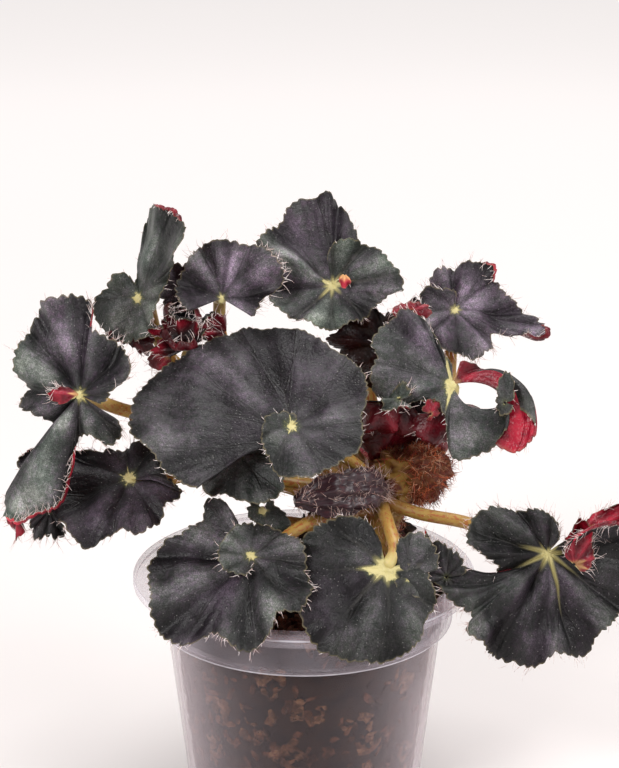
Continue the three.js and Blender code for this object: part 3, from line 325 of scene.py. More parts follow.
     {"facing": [166, -8], "star": [-41, 8, 161], "underside_light": 0.62, "relief": 4.5, "swell": 2, "veins": 9,
      "painted_light": [[70, 200, -9, 8, -0.95, 0]],
      "ribs": [[-30, 6, -10], [-8, 10, -10, 0, -60], [8, 12, -10, 0, -90], [20, 11, -10, 0, -90],
        [38, 15, -10, 0, -90], [52, 13, -10, 0, -90], [72, 16, -10, 0, -90], [95, 14, -10, 0, -90],
        [120, 11, -10, 0, -60], [150, 5, -10]]},
     {"star": [-27, 13.5, 165.5], "facing": [178, -10], "underside_light": 0.8, "relief": 4.5, "swell": 2,
      "veins": 9, "painted_light": [[30, 200, -9, 5, -0.7, 0]],
      "ribs": [[-80, 4, -20], [-50, 9, -25, 0, -90], [-25, 11, -30, 0, -100], [0, 12, -30, 0, -100],
        [22, 10.5, -30, 0, -100], [38, 14, -30, 0, -100], [62, 12, -30, 0, -80], [90, 6, -20]]},
     {"star": [-46.4, 12, 158.7], "facing": [172, -6], "underside_light": 0.7, "relief": 1.5, "star_size": 4,
      "hairy": [],
      "ribs": [[262, 3.5], [290, 6], [310, 8.5], [328, 9], [345, 7.5], [372, 4.5]]}]},
  {"name": "under", "star": [-21.5, -24, 134], "facing": [-2, 52], "lift": 0, "pleat": 0.4, "veins": 7,
   "stalk": [[24, -0.5, 111], [-8, -13, 121]],
   "ribs": [[173, 6], [207, 12.5], [227, 17.5], [241, 18, 0, -10], [256, 14.5, 0, -10],
     [272, 16, 0, -20], [293, 18.5, 0, -20], [310, 20, 0, -20], [323, 19, 0, -10], [336, 15],
     [361, 7.5]],
   "tone": 0.2, "light": 0.8, "star_size": 1.5, "cream": 2, "hair": 0.4, "relief": 1.5,
   "crests": [
     {"star_size": 1.5,
      "ribs": [[-20, 8], [30, 9], [80, 10], [130, 10], [195, 7]]}]},
  {"name": "small", "star": [-14, -22, 113], "facing": [4, 40], "lift": 0, "pleat": 0.2, "veins": 5,
   "stalk": [[21.5, -2, 98], [0, -12, 104]],
   "ribs": [[120, 4, 10], [187, 5], [247, 5], [298, 7, 0, -10], [317, 11, 0, -10], [335, 10],
     [353, 7.5], [376, 4.5, 5], [420, 4, 10]],
   "tone": 0.1, "light": 0.9, "star_size": 1.2, "cream": 2, "hair": 0.4, "relief": 1.0},
  # behind is kept nearly black on both faces: painted shade, as it stands in shadow at the back.
  {"name": "behind", "star": [29, 36, 154.5], "facing": [178, 12], "lift": 0, "pleat": 0.5, "veins": 7,
   "under": True, "stalk": [[32, 13, 114], [33, 26, 134]],
   "ribs": [[269, 23, 0, 10], [286, 21.5, 0, 10], [314, 17, 0, 10], [341, 17, 0, 10], [362, 21, 0, 10],
     [378, 17, 0, 10], [409, 15, 0, 10], [430, 14, 0, 10], [445, 11], [464, 15.5, 0, 10],
     [478, 20, 0, 10], [492, 22.5, 0, 10]],
   "tone": 0.6, "light": 0.3, "underside_light": 0.05, "star_size": 2.0, "cream": 4, "hair": 0.3, "relief": 2.4},
  {"name": "back_left", "star": [-38, 50, 132], "facing": [-150, 52], "lift": -4, "pleat": 0.7,
   "veins": 8, "stalk": [[20.5, 10.5, 100], [-8, 34, 122]],
   "ribs": [[40, 6, 10], [90, 9, 10], [150, 13, 6], [210, 18], [250, 23], [280, 26], [310, 25, 0, -10],
     [340, 28, 0, -15], [370, 27, 0, -15], [400, 29, 0, -10], [430, 25], [460, 26], [490, 22],
     [520, 20]],
   "tone": 0.4, "light": 1.0, "star_size": 3.0, "cream": 4, "hair": 0.7, "relief": 1.6},
  {"name": "back_right", "star": [48, 56, 126], "facing": [148, 50], "lift": 4, "pleat": 0.7,
   "veins": 8, "stalk": [[36, 10.5, 110], [44, 36, 118]],
   "ribs": [[60, 22], [90, 26], [120, 24, 0, -10], [150, 28, 0, -15], [180, 25, 0, -15],
     [210, 27, 0, -10], [240, 23], [270, 24], [300, 20], [330, 17], [370, 14, 6], [420, 9, 10],
     [470, 6, 10]],
   "tone": 0.7, "light": 1.0, "star_size": 3.0, "cream": 4, "hair": 0.7, "relief": 1.6},
  {"name": "back", "star": [4, 66, 112], "facing": [176, 46], "lift": -3, "pleat": 0.7, "veins": 8,
   "stalk": [[23, 13, 96], [8, 44, 106]],
   "ribs": [[20, 8, 8], [70, 15, 4], [110, 22], [150, 25, 0, -10], [190, 24, 0, -15], [230, 28, 0, -20],
     [260, 25, 0, -20], [290, 28, 0, -15], [320, 24, 0, -10], [350, 21], [385, 17]],
   "tone": 0.3, "light": 1.0, "star_size": 3.0, "cream": 4, "hair": 0.7, "relief": 1.6},
]

# ---- node materials -----------------------------------------------------------------------------


class Shader:
    """A material's node tree, with one short call for each kind of node that is used here."""

    def __init__(self, name):
        self.material = bpy.data.materials.new(name)
        self.material.use_nodes = True
        self.tree = self.material.node_tree
        self.tree.nodes.clear()
        self.output = self.node("OutputMaterial")

    def node(self, kind, inputs=None, **settings):
        made = self.tree.nodes.new("ShaderNode" + kind)
        for key, value in settings.items():
            setattr(made, key, value)
        for key, value in (inputs or {}).items():
            self.plug(made.inputs[key], value)
        return made

    def plug(self, socket, value):
        if isinstance(value, bpy.types.NodeSocket):
            self.tree.links.new(value, socket)
        else:
            socket.default_value = (*value, 1) if socket.type == "RGBA" else value

    def math(self, operation, *values):
        return self.node("Math", dict(enumerate(values)), operation=operation).outputs[0]

    def chain(self, operation, first, *rest):
        for value in rest:
            first = self.math(operation, first, value)
        return first

    def plus(self, *values):
        return self.chain("ADD", *values)

    def minus(self, *values):
        return self.chain("SUBTRACT", *values)

    def times(self, *values):
        return self.chain("MULTIPLY", *values)

    def over(self, *values):
        return self.chain("DIVIDE", *values)

    def at_least(self, low, value):
        return self.math("MAXIMUM", value, low)

    def ramp(self, value, low, high, start=0.0, end=1.0):
        inputs = {"Value": value, "From Min": low, "From Max": high, "To Min": start, "To Max": end}
        return self.node("MapRange", inputs, interpolation_type="SMOOTHSTEP").outputs["Result"]

    def join(self, x, y, z=0.0):
        return self.node("CombineXYZ", {0: x, 1: y, 2: z}).outputs[0]

    def split(self, vector):
        return self.node("SeparateXYZ", {0: vector}).outputs

    def mix(self, factor, first, second, blend="MIX"):
        made = self.node("Mix", {0: factor, 6: first, 7: second}, data_type="RGBA", blend_type=blend)
        return made.outputs[2]

    def shade(self, colour, amount):
        """A colour made lighter or darker by an amount."""
        return self.mix(1.0, colour, self.join(amount, amount, amount), "MULTIPLY")

    def place(self, scale=(1, 1, 1)):
        """Position on the object in millimetres, stretched by a scale."""
        spot = self.node("TexCoord").outputs["Object"]
        factors = tuple(value / MM for value in scale)
        return self.node("VectorMath", {0: spot, 1: factors}, operation="MULTIPLY").outputs[0]

    def noise(self, vector, scale, detail=3.0, rough=0.55):
        inputs = {"Vector": vector, "Scale": scale, "Detail": detail, "Roughness": rough}
        return self.node("TexNoise", inputs).outputs["Fac"]

    def cells(self, vector, scale, feature="F1"):
        return self.node("TexVoronoi", {"Vector": vector, "Scale": scale}, feature=feature).outputs

    def attribute(self, name):
        return self.split(self.node("Attribute", attribute_name=name).outputs["Vector"])

    def bump(self, height, distance, strength):
        inputs = {"Height": height, "Distance": distance * MM, "Strength": strength}
        return self.node("Bump", inputs).outputs["Normal"]

    def finish(self, colour, roughness, specular, normal=None, **constants):
        inputs = {"Base Color": colour, "Roughness": roughness, "Specular IOR Level": specular}
        if normal is not None:
            inputs["Normal"] = normal
        inputs.update({key.replace("_", " "): value for key, value in constants.items()})
        surface = self.node("BsdfPrincipled", inputs)
        self.tree.links.new(surface.outputs[0], self.output.inputs["Surface"])
        return self.material


# Where the main veins fork, in millimetres from the star, and how far apart the forks spread.
VEIN_FORKS = [(7.0, 0.26), (15.0, 0.42)]


def vein_masks(shader):
    """Masks over a blade: its main veins, forked veins and star, and what they are made from."""
    phase, distance, rim = shader.attribute("polar")
    veins, tone, star = shader.attribute("kind")
    light, cream, wide = shader.attribute("look")
    fold, swell, underside_light = shader.attribute("form")
    off = shader.math("PINGPONG", phase, 0.5)
    pick = shader.plus(shader.math("ROUND", phase), shader.times(veins, 9.7))
    luck = shader.node("TexWhiteNoise", {"W": pick}, noise_dimensions="1D").outputs["Value"]
    arc = shader.over(shader.times(distance, 2 * math.pi), veins)
    width = shader.times(shader.ramp(distance, 0, 26, 0.75, 0.22), wide)
    main = shader.ramp(shader.over(shader.times(off, arc), width), 0.35, 1.0, 1.0, 0.0)
    forks = 0.0
    for start, spread in VEIN_FORKS:
        share = shader.minus(1.0, shader.over(start, shader.at_least(1.0, distance)))
        lane = shader.times(shader.at_least(0.0, share), spread)
        away = shader.times(shader.math("ABSOLUTE", shader.minus(off, lane)), arc)
        line = shader.times(shader.ramp(away, 0.1, 0.45, 1.0, 0.0), shader.ramp(distance, start, start + 3))
        forks = shader.math("MAXIMUM", forks, line)
    ray = shader.math("POWER", shader.minus(1.0, shader.times(off, 2.0)), 4.0)
    ray = shader.times(ray, shader.plus(shader.times(luck, 0.7), 0.05))
    inside = shader.minus(distance, shader.times(star, shader.plus(ray, 0.48)))
    return SimpleNamespace(phase=phase, distance=distance, rim=rim, tone=tone, light=light, cream=cream,
                           fold=fold, swell=swell, underside_light=underside_light, main=main, forks=forks, inside=inside,
                           luck=luck)


def leaf_upper_material():
    """Velvety dark upper face with a cream star, sunken veins, pale specks, a thin light margin, painted
    highlights on its ridges and painted shade in its valleys and along its forked veins.
    """
    shader = Shader("leaf_upper")
    mask = vein_masks(shader)
    spot = shader.place()
    cloud = shader.ramp(shader.noise(spot, 0.075, 2.0), 0.36, 0.64)
    mottle = shader.noise(spot, 0.5, 4.0, 0.65)
    dust = shader.noise(spot, 2.6, 2.0, 0.6)
    fibre = shader.join(shader.times(mask.phase, 26.0), shader.times(mask.distance, 0.35))
    streaks = shader.noise(fibre, 1.0, 3.0, 0.6)
    grey = shader.mix(cloud, (0.018, 0.022, 0.019), (0.052, 0.056, 0.050))
    purple = shader.mix(cloud, (0.021, 0.014, 0.021), (0.064, 0.048, 0.066))
    tone = shader.plus(mask.tone, shader.ramp(mottle, 0.35, 0.7, -0.25, 0.3))
    colour = shader.mix(shader.math("MINIMUM", shader.at_least(0.0, tone), 1.0), grey, purple)
    # Painted light: lighter on the ridges of the pleats and swells and darker in their valleys, times the
    # leaf's light with its painted highlights and shade.
    colour = shader.shade(colour, shader.times(
        shader.ramp(streaks, 0.3, 0.75, 0.85, 1.2), mask.light, shader.ramp(mottle, 0.3, 0.75, 0.7, 1.35),
        shader.ramp(dust, 0.35, 0.75, 0.7, 1.9), shader.ramp(mask.fold, -0.55, 0.4, 0.45, 1.35),
        shader.ramp(mask.swell, -0.8, 0.8, 0.5, 1.55)))
    # Painted shade in the grooves of the sunken forked veins.
    colour = shader.mix(shader.times(mask.forks, 0.3), colour, (0.012, 0.012, 0.010))
    green = shader.ramp(mask.rim, 0.5, 8, 0.45, 0.0)
    colour = shader.mix(green, colour, shader.mix(1.0, colour, (0.97, 1.10, 0.90), "MULTIPLY"))
    ridge = shader.times(mask.main, shader.ramp(mask.distance, 4, 26, 0.5, 0.05),
                         shader.minus(mask.luck, 0.1), shader.ramp(mask.cream, 2, 8, 0.3, 1.2))
    colour = shader.mix(shader.at_least(0.0, ridge), colour, (0.120, 0.112, 0.100))
    fade = shader.over(mask.distance, mask.cream, shader.plus(shader.times(mask.luck, 0.8), 0.5))
    pale = shader.times(mask.main, shader.ramp(fade, 0.3, 1.15, 0.9, 0.0))
    halo = shader.ramp(mask.inside, 0.0, 2.4, 0.45, 0.0)
    colour = shader.mix(halo, colour, (0.075, 0.088, 0.030))
    colour = shader.mix(pale, colour, (0.40, 0.35, 0.15))
    ragged = shader.plus(mask.inside, shader.ramp(mottle, 0.3, 0.7, -0.9, 0.9))
    cream = shader.mix(mottle, (0.44, 0.38, 0.12), (0.66, 0.59, 0.33))
    colour = shader.mix(shader.ramp(ragged, -0.5, 0.5, 1, 0), colour, cream)
    specks = shader.cells(spot, 0.85)
    dots = shader.times(shader.ramp(specks["Distance"], 0.05, 0.2, 0.6, 0.0),
                        shader.math("GREATER_THAN", shader.split(specks["Color"])[0], 0.5))
    colour = shader.mix(dots, colour, (0.28, 0.27, 0.26))
    worn = shader.times(shader.ramp(mask.rim, 0.15, 0.75, 0.9, 0.0),
                        shader.ramp(mottle, 0.35, 0.65, 0.15, 0.8))
    colour = shader.mix(worn, colour, (0.17, 0.14, 0.075))
    skin = shader.cells(spot, 1.6, "SMOOTH_F1")["Distance"]
    height = shader.minus(shader.plus(shader.times(streaks, 0.3), shader.times(mottle, 1.8)),
                          shader.times(skin, 0.35), shader.times(mask.forks, 0.3))
    rough = shader.ramp(mottle, 0.25, 0.8, 0.32, 0.50)
    return shader.finish(colour, rough, 0.24, shader.bump(height, 0.4, 0.65))


def leaf_lower_material():
    """Satin burgundy underside with paler raised veins, painted highlights on its ridges and painted shade
    in its folds.
    """
    shader = Shader("leaf_lower")
    mask = vein_masks(shader)
    spot = shader.place()
    mottle = shader.noise(spot, 0.4, 4.0, 0.6)
    patch = shader.ramp(shader.noise(spot, 0.14, 2.0), 0.38, 0.62)
    patch = shader.times(shader.plus(patch, mottle), 0.6)
    colour = shader.mix(patch, (0.030, 0.002, 0.005), (0.34, 0.008, 0.026))
    lines = shader.math("MAXIMUM", mask.main, shader.times(mask.forks, 0.7))
    colour = shader.mix(shader.times(lines, 0.22), colour, (0.40, 0.035, 0.060))
    colour = shader.mix(shader.ramp(mask.inside, -0.5, 1.5, 0.7, 0.0), colour, (0.50, 0.30, 0.12))
    colour = shader.mix(shader.ramp(mask.rim, 0.1, 0.6, 0.5, 0.0), colour, (0.30, 0.08, 0.06))
    # Painted light and shade: the underside's lightness with its painted stretches, lighter under the upper
    # face's valleys and darker under its ridges.
    colour = shader.shade(colour, shader.times(mask.underside_light, shader.ramp(mask.fold, -0.5, 0.4, 1.3, 0.7)))
    skin = shader.cells(spot, 1.1, "SMOOTH_F1")["Distance"]
    height = shader.plus(shader.times(lines, 0.6), skin, shader.times(mottle, 1.5))
    rough = shader.ramp(mottle, 0.25, 0.8, 0.28, 0.44)
    return shader.finish(colour, rough, 0.35, shader.bump(height, 0.35, 0.7))


def hair_material(name, root, tip, scale=0.6):
    """Fine hairs, from one colour to another by place."""
    shader = Shader("hair_" + name)
    tone = shader.noise(shader.place(), scale, 2.0)
    return shader.finish(shader.mix(shader.ramp(tone, 0.4, 0.6), root, tip), 0.45, 0.4)


def stalk_material():
    """Amber, fleshy stalk with red flecks along it, browner at its foot and paler at its leaf."""
    shader = Shader("stalk")
    along, around, share = shader.attribute("course")
    grain = shader.join(shader.times(along, 0.30), shader.times(around, 1.3))
    flecks = shader.noise(grain, 1.6, 3.0, 0.6)
    mottle = shader.noise(shader.place(), 0.30, 3.0)
    colour = shader.mix(mottle, (0.28, 0.15, 0.025), (0.52, 0.34, 0.085))
    colour = shader.mix(shader.ramp(flecks, 0.50, 0.62, 0.0, 0.75), colour, (0.34, 0.06, 0.018))
    colour = shader.mix(shader.ramp(share, 0.0, 0.22, 0.75, 0.0), colour, (0.24, 0.10, 0.02))
    colour = shader.mix(shader.ramp(share, 0.82, 0.97, 0.0, 0.9), colour, (0.55, 0.47, 0.19))
    return shader.finish(colour, 0.42, 0.5, shader.bump(flecks, 0.2, 0.5), Subsurface_Weight=0.08,
                         Subsurface_Radius=(0.004, 0.0015, 0.0006), Subsurface_Scale=0.5)


def rhizome_material():
    """Scaly creeping stem, amber between red-brown scales and redder on its knob."""
    shader = Shader("rhizome")
    spot = shader.place()
    scales = shader.cells(spot, 0.42)["Distance"]
    mottle = shader.noise(spot, 0.35, 4.0, 0.6)
    amber = shader.ramp(shader.split(spot)[0], KNOB_CENTRE[0] - 6, KNOB_CENTRE[0] - 3, 1.0, 0.0)
    amber = shader.times(amber, shader.ramp(shader.noise(spot, 0.16, 2.0), 0.42, 0.56))
    colour = shader.mix(mottle, (0.016, 0.005, 0.003), (0.20, 0.040, 0.014))
    colour = shader.mix(shader.ramp(scales, 0.3, 0.8, 0.0, 0.5), colour, (0.20, 0.075, 0.02))
    colour = shader.mix(amber, colour, shader.mix(mottle, (0.16, 0.08, 0.012), (0.42, 0.25, 0.05)))
    return shader.finish(colour, 0.6, 0.4, shader.bump(scales, 0.7, 0.9))


def bud_material():
    """Dark purple folded leaf, with painted highlights on its ridges."""
    shader = Shader("bud")
    mottle = shader.noise(shader.place(), 0.4, 4.0, 0.6)
    ridges = shader.noise(shader.place((0.25, 0.8, 1.2)), 0.8, 3.0)
    colour = shader.mix(mottle, (0.016, 0.007, 0.011), (0.060, 0.028, 0.036))
    # Painted highlights: paler where the ridges of the bump rise.
    colour = shader.mix(shader.ramp(ridges, 0.5, 0.7, 0.0, 0.5), colour, (0.12, 0.035, 0.04))
    return shader.finish(colour, 0.34, 0.5, shader.bump(ridges, 0.6, 0.7), Sheen_Weight=0.05)


def bark_material(name, dark, light, scale=0.3):
    """Bark or fines: colour by chip, with a rough woody grain."""
    shader = Shader("bark_" + name)
    patch = shader.noise(shader.place(), scale, 3.0, 0.6)
    grain = shader.noise(shader.place((1, 1, 2.4)), 1.3, 5.0, 0.7)
    colour = shader.mix(shader.ramp(patch, 0.35, 0.68), dark, light)
    darker = tuple(0.35 * value for value in dark)
    colour = shader.mix(shader.ramp(grain, 0.35, 0.7, 0.55, 0.0), colour, darker)
    rough = shader.ramp(grain, 0.3, 0.7, 0.55, 0.85)
    return shader.finish(colour, rough, 0.12, shader.bump(grain, 0.8, 0.9))


def plastic_material(name, alpha, slanted, gloss, colour):
    """Clear plastic with a slight haze and faint flow marks from moulding."""
    shader = Shader("pot_" + name)
    marks = shader.noise(shader.place((0.25, 0.25, 0.03)), 1.0, 2.0)
    tint = shader.mix(marks, tuple(0.94 * value for value in colour), colour)
    slant = shader.node("LayerWeight", {"Blend": 0.5}).outputs["Facing"]
    haze = shader.plus(shader.times(shader.math("POWER", slant, 2.0), slanted), alpha)
    rough = shader.ramp(marks, 0.3, 0.7, 0.20, 0.30)
    return shader.finish(tint, rough, gloss, shader.bump(marks, 0.15, 0.25), Alpha=haze)


def floor_material():
    """Plain pale studio floor."""
    shader = Shader("floor")
    spot = shader.place()
    colour = shader.mix(shader.noise(spot, 0.002, 2.0), (0.70, 0.665, 0.655), (0.72, 0.685, 0.675))
    away = shader.node("VectorMath", {0: spot}, operation="LENGTH").outputs["Value"]
    return shader.finish(colour, 0.9, 0.1, Emission_Color=(1, 0.965, 0.955),
                         Emission_Strength=shader.ramp(away, 80, 1400, 0.14, 0.60))


# ---- meshes -------------------------------------------------------------------------------------


class Soup:
    """Points, faces and values on the points, gathered piece by piece into one mesh."""

    def __init__(self):
        self.points, self.faces, self.slots, self.fields = [], [], [], {}
        self.count = 0

    def add(self, points, faces, slot=0, fields=None):
        """Adds points, groups of faces over them and values for the shader, with one material."""
        points = np.asarray(points, float).reshape(-1, 3)
        for face in faces:
            face = np.asarray(face) + self.count
            self.faces.extend(face.tolist())
            self.slots.extend([slot] * len(face))
        for name, values in (fields or {}).items():
            self.fields.setdefault(name, []).append(np.asarray(values, float).reshape(-1, 3))
        self.points.append(points)
        self.count += len(points)

    def piece(self, name, materials, slot, replaced=None):
        """Makes the mesh an object that rides on the part, in place of one of its nodes or beside them."""
        mesh = bpy.data.meshes.new(name)
        mesh.from_pydata((np.concatenate(self.points) * MM).tolist(), [], self.faces)
        for key, values in self.fields.items():
            layer = mesh.attributes.new(key, "FLOAT_VECTOR", "POINT")
            layer.data.foreach_set("vector", np.concatenate(values).ravel())
        for material in materials:
            mesh.materials.append(material)
        mesh.polygons.foreach_set("material_index", self.slots)
        mesh.shade_smooth()
        made = bpy.data.objects.new(name, mesh)
        bpy.context.scene.collection.objects.link(made)
        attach(made, BODY)
        if replaced:
            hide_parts(replaced)
        return made


def grid_faces(rows, columns, wrap=False, flip=False):
    """Quads over a grid of points, rows by columns; wrap joins the last column to the first."""
    i = np.arange(rows - 1)[:, None] * columns
    j = np.arange(columns if wrap else columns - 1)[None, :]
    after = (j + 1) % columns
    quads = stacked(i + j, i + after, i + columns + after, i + columns + j).reshape(-1, 4)
    return quads[:, ::-1] if flip else quads


def ring_faces(rings, sides, flip=False):
    """Quads round a body made of rings, and a cap on either end."""
    first = np.arange(sides)[None, :]
    last = first + (rings - 1) * sides
    caps = [first, last[:, ::-1]] if flip else [first[:, ::-1], last]
    return [grid_faces(rings, sides, wrap=True, flip=flip), *caps]


def stacked(*parts):
    """Arrays put side by side as the coordinates of points."""
    return np.stack(np.broadcast_arrays(*parts), -1)


def turns(sides):
    """The angles once round a circle, as a row."""
    return np.linspace(0, 2 * math.pi, sides, endpoint=False)[None, :]


def circling(turn, across, beside):
    """The direction at an angle between two directions."""
    return np.cos(turn) * across + np.sin(turn) * beside


def travelled(line):
    """How far along a line each of its points is."""
    return np.concatenate([[0], np.cumsum(np.linalg.norm(np.diff(line, axis=0), axis=1))])


def ease_step(value):
    """A smooth step from 0 to 1."""
    x = np.clip(value, 0, 1)
    return x * x * (3 - 2 * x)


def through_list(values, places):
    """Hermite curve through a list of numbers that never overshoots them."""
    values = np.asarray(values, float)
    steps = np.diff(values)
    slopes = np.zeros(len(values))
    slopes[0], slopes[-1] = steps[0], steps[-1]
    before, after = steps[:-1], steps[1:]
    total = np.where(before * after > 0, before + after, 1)
    slopes[1:-1] = np.where(before * after > 0, 2 * before * after / total, 0)
    index = np.minimum(np.floor(places).astype(int), len(values) - 2)
    f = places - index
    start, end, span = slopes[index], slopes[index + 1], steps[index]
    square, cube = 3 * span - 2 * start - end, start + end - 2 * span
    return values[index] + f * start + f**2 * square + f**3 * cube


def unit(vectors):
    """Vectors brought to a length of 1."""
    return vectors / np.maximum(np.linalg.norm(vectors, axis=-1, keepdims=True), 1e-9)


def smooth_noise(seed, count, spacing):
    """A seeded, smooth random line of values between -1 and 1."""
    draw = np.random.default_rng(seed).uniform(-1, 1, int(count / spacing) + 3)
    return through_list(draw, np.arange(count) / spacing)


# ---- leaf blades --------------------------------------------------------------------------------

COURSE_STEPS = 32
CURL_START = 0.6
ROW_ARC = 0.8
ROW_ANGLE = 5
COLUMN_STEP = 0.85
EDGE_BAND = 0.25
TOOTH_PITCH = 3.3
TOOTH_DEPTH = 0.9
FORK_DEPTH = 0.03
FORK_WIDTH = 1.1
SWELL = 0.9
SWELL_PITCH = 17
SWELL_REACH = 12
ROLL_BULGE = 0.55
RUFFLE_PITCH = 10
RUFFLE = 0.85
NOISE_ARC = 400
HUB_RINGS = 7
HUB_SIDES = 16
EVERYWHERE = [0, 1e6, -9, 1e6]


def blade_axes(facing):
    """A blade's normal, and the directions to its right and its top in its plane."""
    azimuth, elevation = (value * DEGREE for value in facing)
    level = math.cos(elevation)
    normal = np.array([level * math.sin(azimuth), -level * math.cos(azimuth), math.sin(elevation)])
    right = np.array([math.cos(azimuth), math.sin(azimuth), 0])
    return normal, right, np.cross(normal, right)


def on_blade(leaf, x, y, height):
    """Points given by where they are in a blade's plane and how high above it."""
    normal, right, top = blade_axes(leaf["facing"])
    return (np.array(leaf["star"]) + x[..., None] * right + y[..., None] * top
            + height[..., None] * normal)


def rib_column(leaf, k, places):
    """One of the values of a blade's ribs, at places between them."""
    return through_list([rib[k] if k < len(rib) else 0 for rib in leaf["ribs"]], places)


def blade_surface(leaf, places, s, tooth=0.0, ruffle=0.0):
    """A blade's middle surface at rib places (rows) and shares s of each rib (columns).

    Returns its points, the phase of its veins, the distance from its star and from its margin,
    and its form for the shader: pleats and swells, which the shader paints as highlights on the ridges
    and shade in the valleys, and the underside's lightness, its depth of red with painted light and shade.
    """
    azimuth, length, rise, bend, curl, sweep = (rib_column(leaf, k, places)[:, None] for k in range(6))
    roll, roll_share = np.zeros_like(length), np.zeros_like(length) + 0.2
    for centre, half, turn, width in leaf.get("rolls", []):
        bump = ease_step(1.5 - np.abs(azimuth - centre) / half)
        roll = roll + turn * bump
        length = length + ROLL_BULGE * width * bump
        roll_share = np.where(bump > 0, width / length, roll_share)
    along, above = np.zeros_like(s * length), np.zeros_like(s * length)
    for i in range(COURSE_STEPS):
        at = s * (i + 0.5) / COURSE_STEPS
        curled = curl * ease_step((at - CURL_START) / (1 - CURL_START))
        rolled = roll * ease_step((at - 1 + roll_share) / roll_share)
        angle = (rise + bend * at + curled + rolled) * DEGREE
        along, above = along + np.cos(angle), above + np.sin(angle)
    along, above = along * s / COURSE_STEPS, above * s / COURSE_STEPS
    reach = length + tooth * s**2
    angle = (azimuth + sweep * s**2) * DEGREE
    distance = reach * s
    first, last = leaf["ribs"][0][0], leaf["ribs"][-1][0]
    turn = (azimuth - (first + last) / 2) / 360
    fold = np.abs(np.sin(azimuth * DEGREE * leaf["veins"] / 2)) ** 1.1 - PLEAT_LEVEL
    pleat = leaf["pleat"] * leaf["relief"] * fold * np.minimum(1.5, distance / PLEAT_REACH)
    spiral = leaf["lift"] * turn * np.minimum(1, distance / LIFT_REACH)
    phase = azimuth * DEGREE * leaf["veins"] / (2 * math.pi)
    off = np.abs(phase - np.round(phase))
    arc = 2 * math.pi / leaf["veins"] * distance
    forks = 0
    for start, spread in VEIN_FORKS:
        lane = spread * np.maximum(0, 1 - start / np.maximum(distance, 1))
        near = np.exp(-((off - lane) * arc / FORK_WIDTH) ** 2)
        forks = forks + near * ease_step((distance - start) / 4)
    height = reach * above + spiral + pleat - FORK_DEPTH * forks + ruffle * s**3
    x, y = reach * along * np.cos(angle), reach * along * np.sin(angle)
    swell = lumps(stacked(x, y, leaf["star"][0]), 7, SWELL_PITCH) * np.minimum(1, distance / SWELL_REACH)
    height = height + SWELL * leaf.get("swell", leaf["relief"]) * swell
    form = stacked(fold * np.minimum(1, distance / PLEAT_REACH), swell, leaf["underside_light"])
    return on_blade(leaf, x, y, height), phase + 0 * s, distance, reach - distance, form


def blade_rows(leaf):
    """Rib places evenly spread along the margin, and the arc length at each."""
    fine = np.linspace(0, len(leaf["ribs"]) - 1, (len(leaf["ribs"]) - 1) * 24 + 1)
    edge = blade_surface({**leaf, "rolls": []}, fine, np.ones((1, 1)))[0][:, 0]
    steps = np.linalg.norm(np.diff(edge, axis=0), axis=1)
    swings = np.diff(rib_column(leaf, 0, fine))
    measure = np.concatenate([[0], np.cumsum(np.maximum(steps / ROW_ARC, swings / ROW_ANGLE))])
    rows = int(math.ceil(measure[-1])) + 1
    wanted = np.linspace(0, measure[-1], rows)
    return np.interp(wanted, measure, fine), np.interp(wanted, measure, travelled(edge))


def arc_noise(arcs, seed, spacing):
    """Smooth noise read along a margin."""
    return np.interp(arcs, np.arange(NOISE_ARC), smooth_noise(seed, NOISE_ARC, spacing))


def margin_teeth(arcs, seed):
    """Rounded, uneven teeth along a margin, in millimetres of reach."""
    drift = arc_noise(arcs, seed, 7) * 1.4
    size = 1 + 0.5 * arc_noise(arcs, seed + 1, 9)
    wave = np.abs(np.sin(math.pi * (arcs + drift) / TOOTH_PITCH)) ** 0.7
    small = np.abs(np.sin(math.pi * (arcs - drift) / (0.37 * TOOTH_PITCH)))
    return TOOTH_DEPTH * (wave - 0.6) * size + 0.35 * (small - 0.5)


def stretches(places, distance, listed):
    """Sums of changes over stretches of azimuth and of distance from the star."""
    total = 0
    for centre, half, start, end, *changes in listed:
        there = ease_step(1.4 * (1 - np.abs(places - centre) / half))
        there = there * ease_step((distance - start) / 4 + 0.5) * ease_step((end - distance) / 5 + 0.5)
        total = total + there[..., None] * np.array(changes)
    return total


def blade_looks(leaf, places, distance):
    """What the shader reads over a blade: light and tone with painted light and shade, the underside's
    depth of red with the same painted light and shade, star and length of pale veins.
    """
    azimuth = rib_column(leaf, 0, places)[:, None]
    changes = stretches(azimuth, distance, [[*EVERYWHERE, 0, 0], *leaf["painted_light"]])
    rays = stretches(azimuth, distance, [[*EVERYWHERE, 0], *leaf["rays"]])[..., 0]
    # Painted highlights and painted shade, as one factor for both faces.
    painted_light_factor = np.maximum(0.08, 1 + changes[..., 0])
    return leaf["light"] * painted_light_factor, leaf["tone"] + changes[..., 1], leaf["underside_light"] * painted_light_factor, 1 + rays


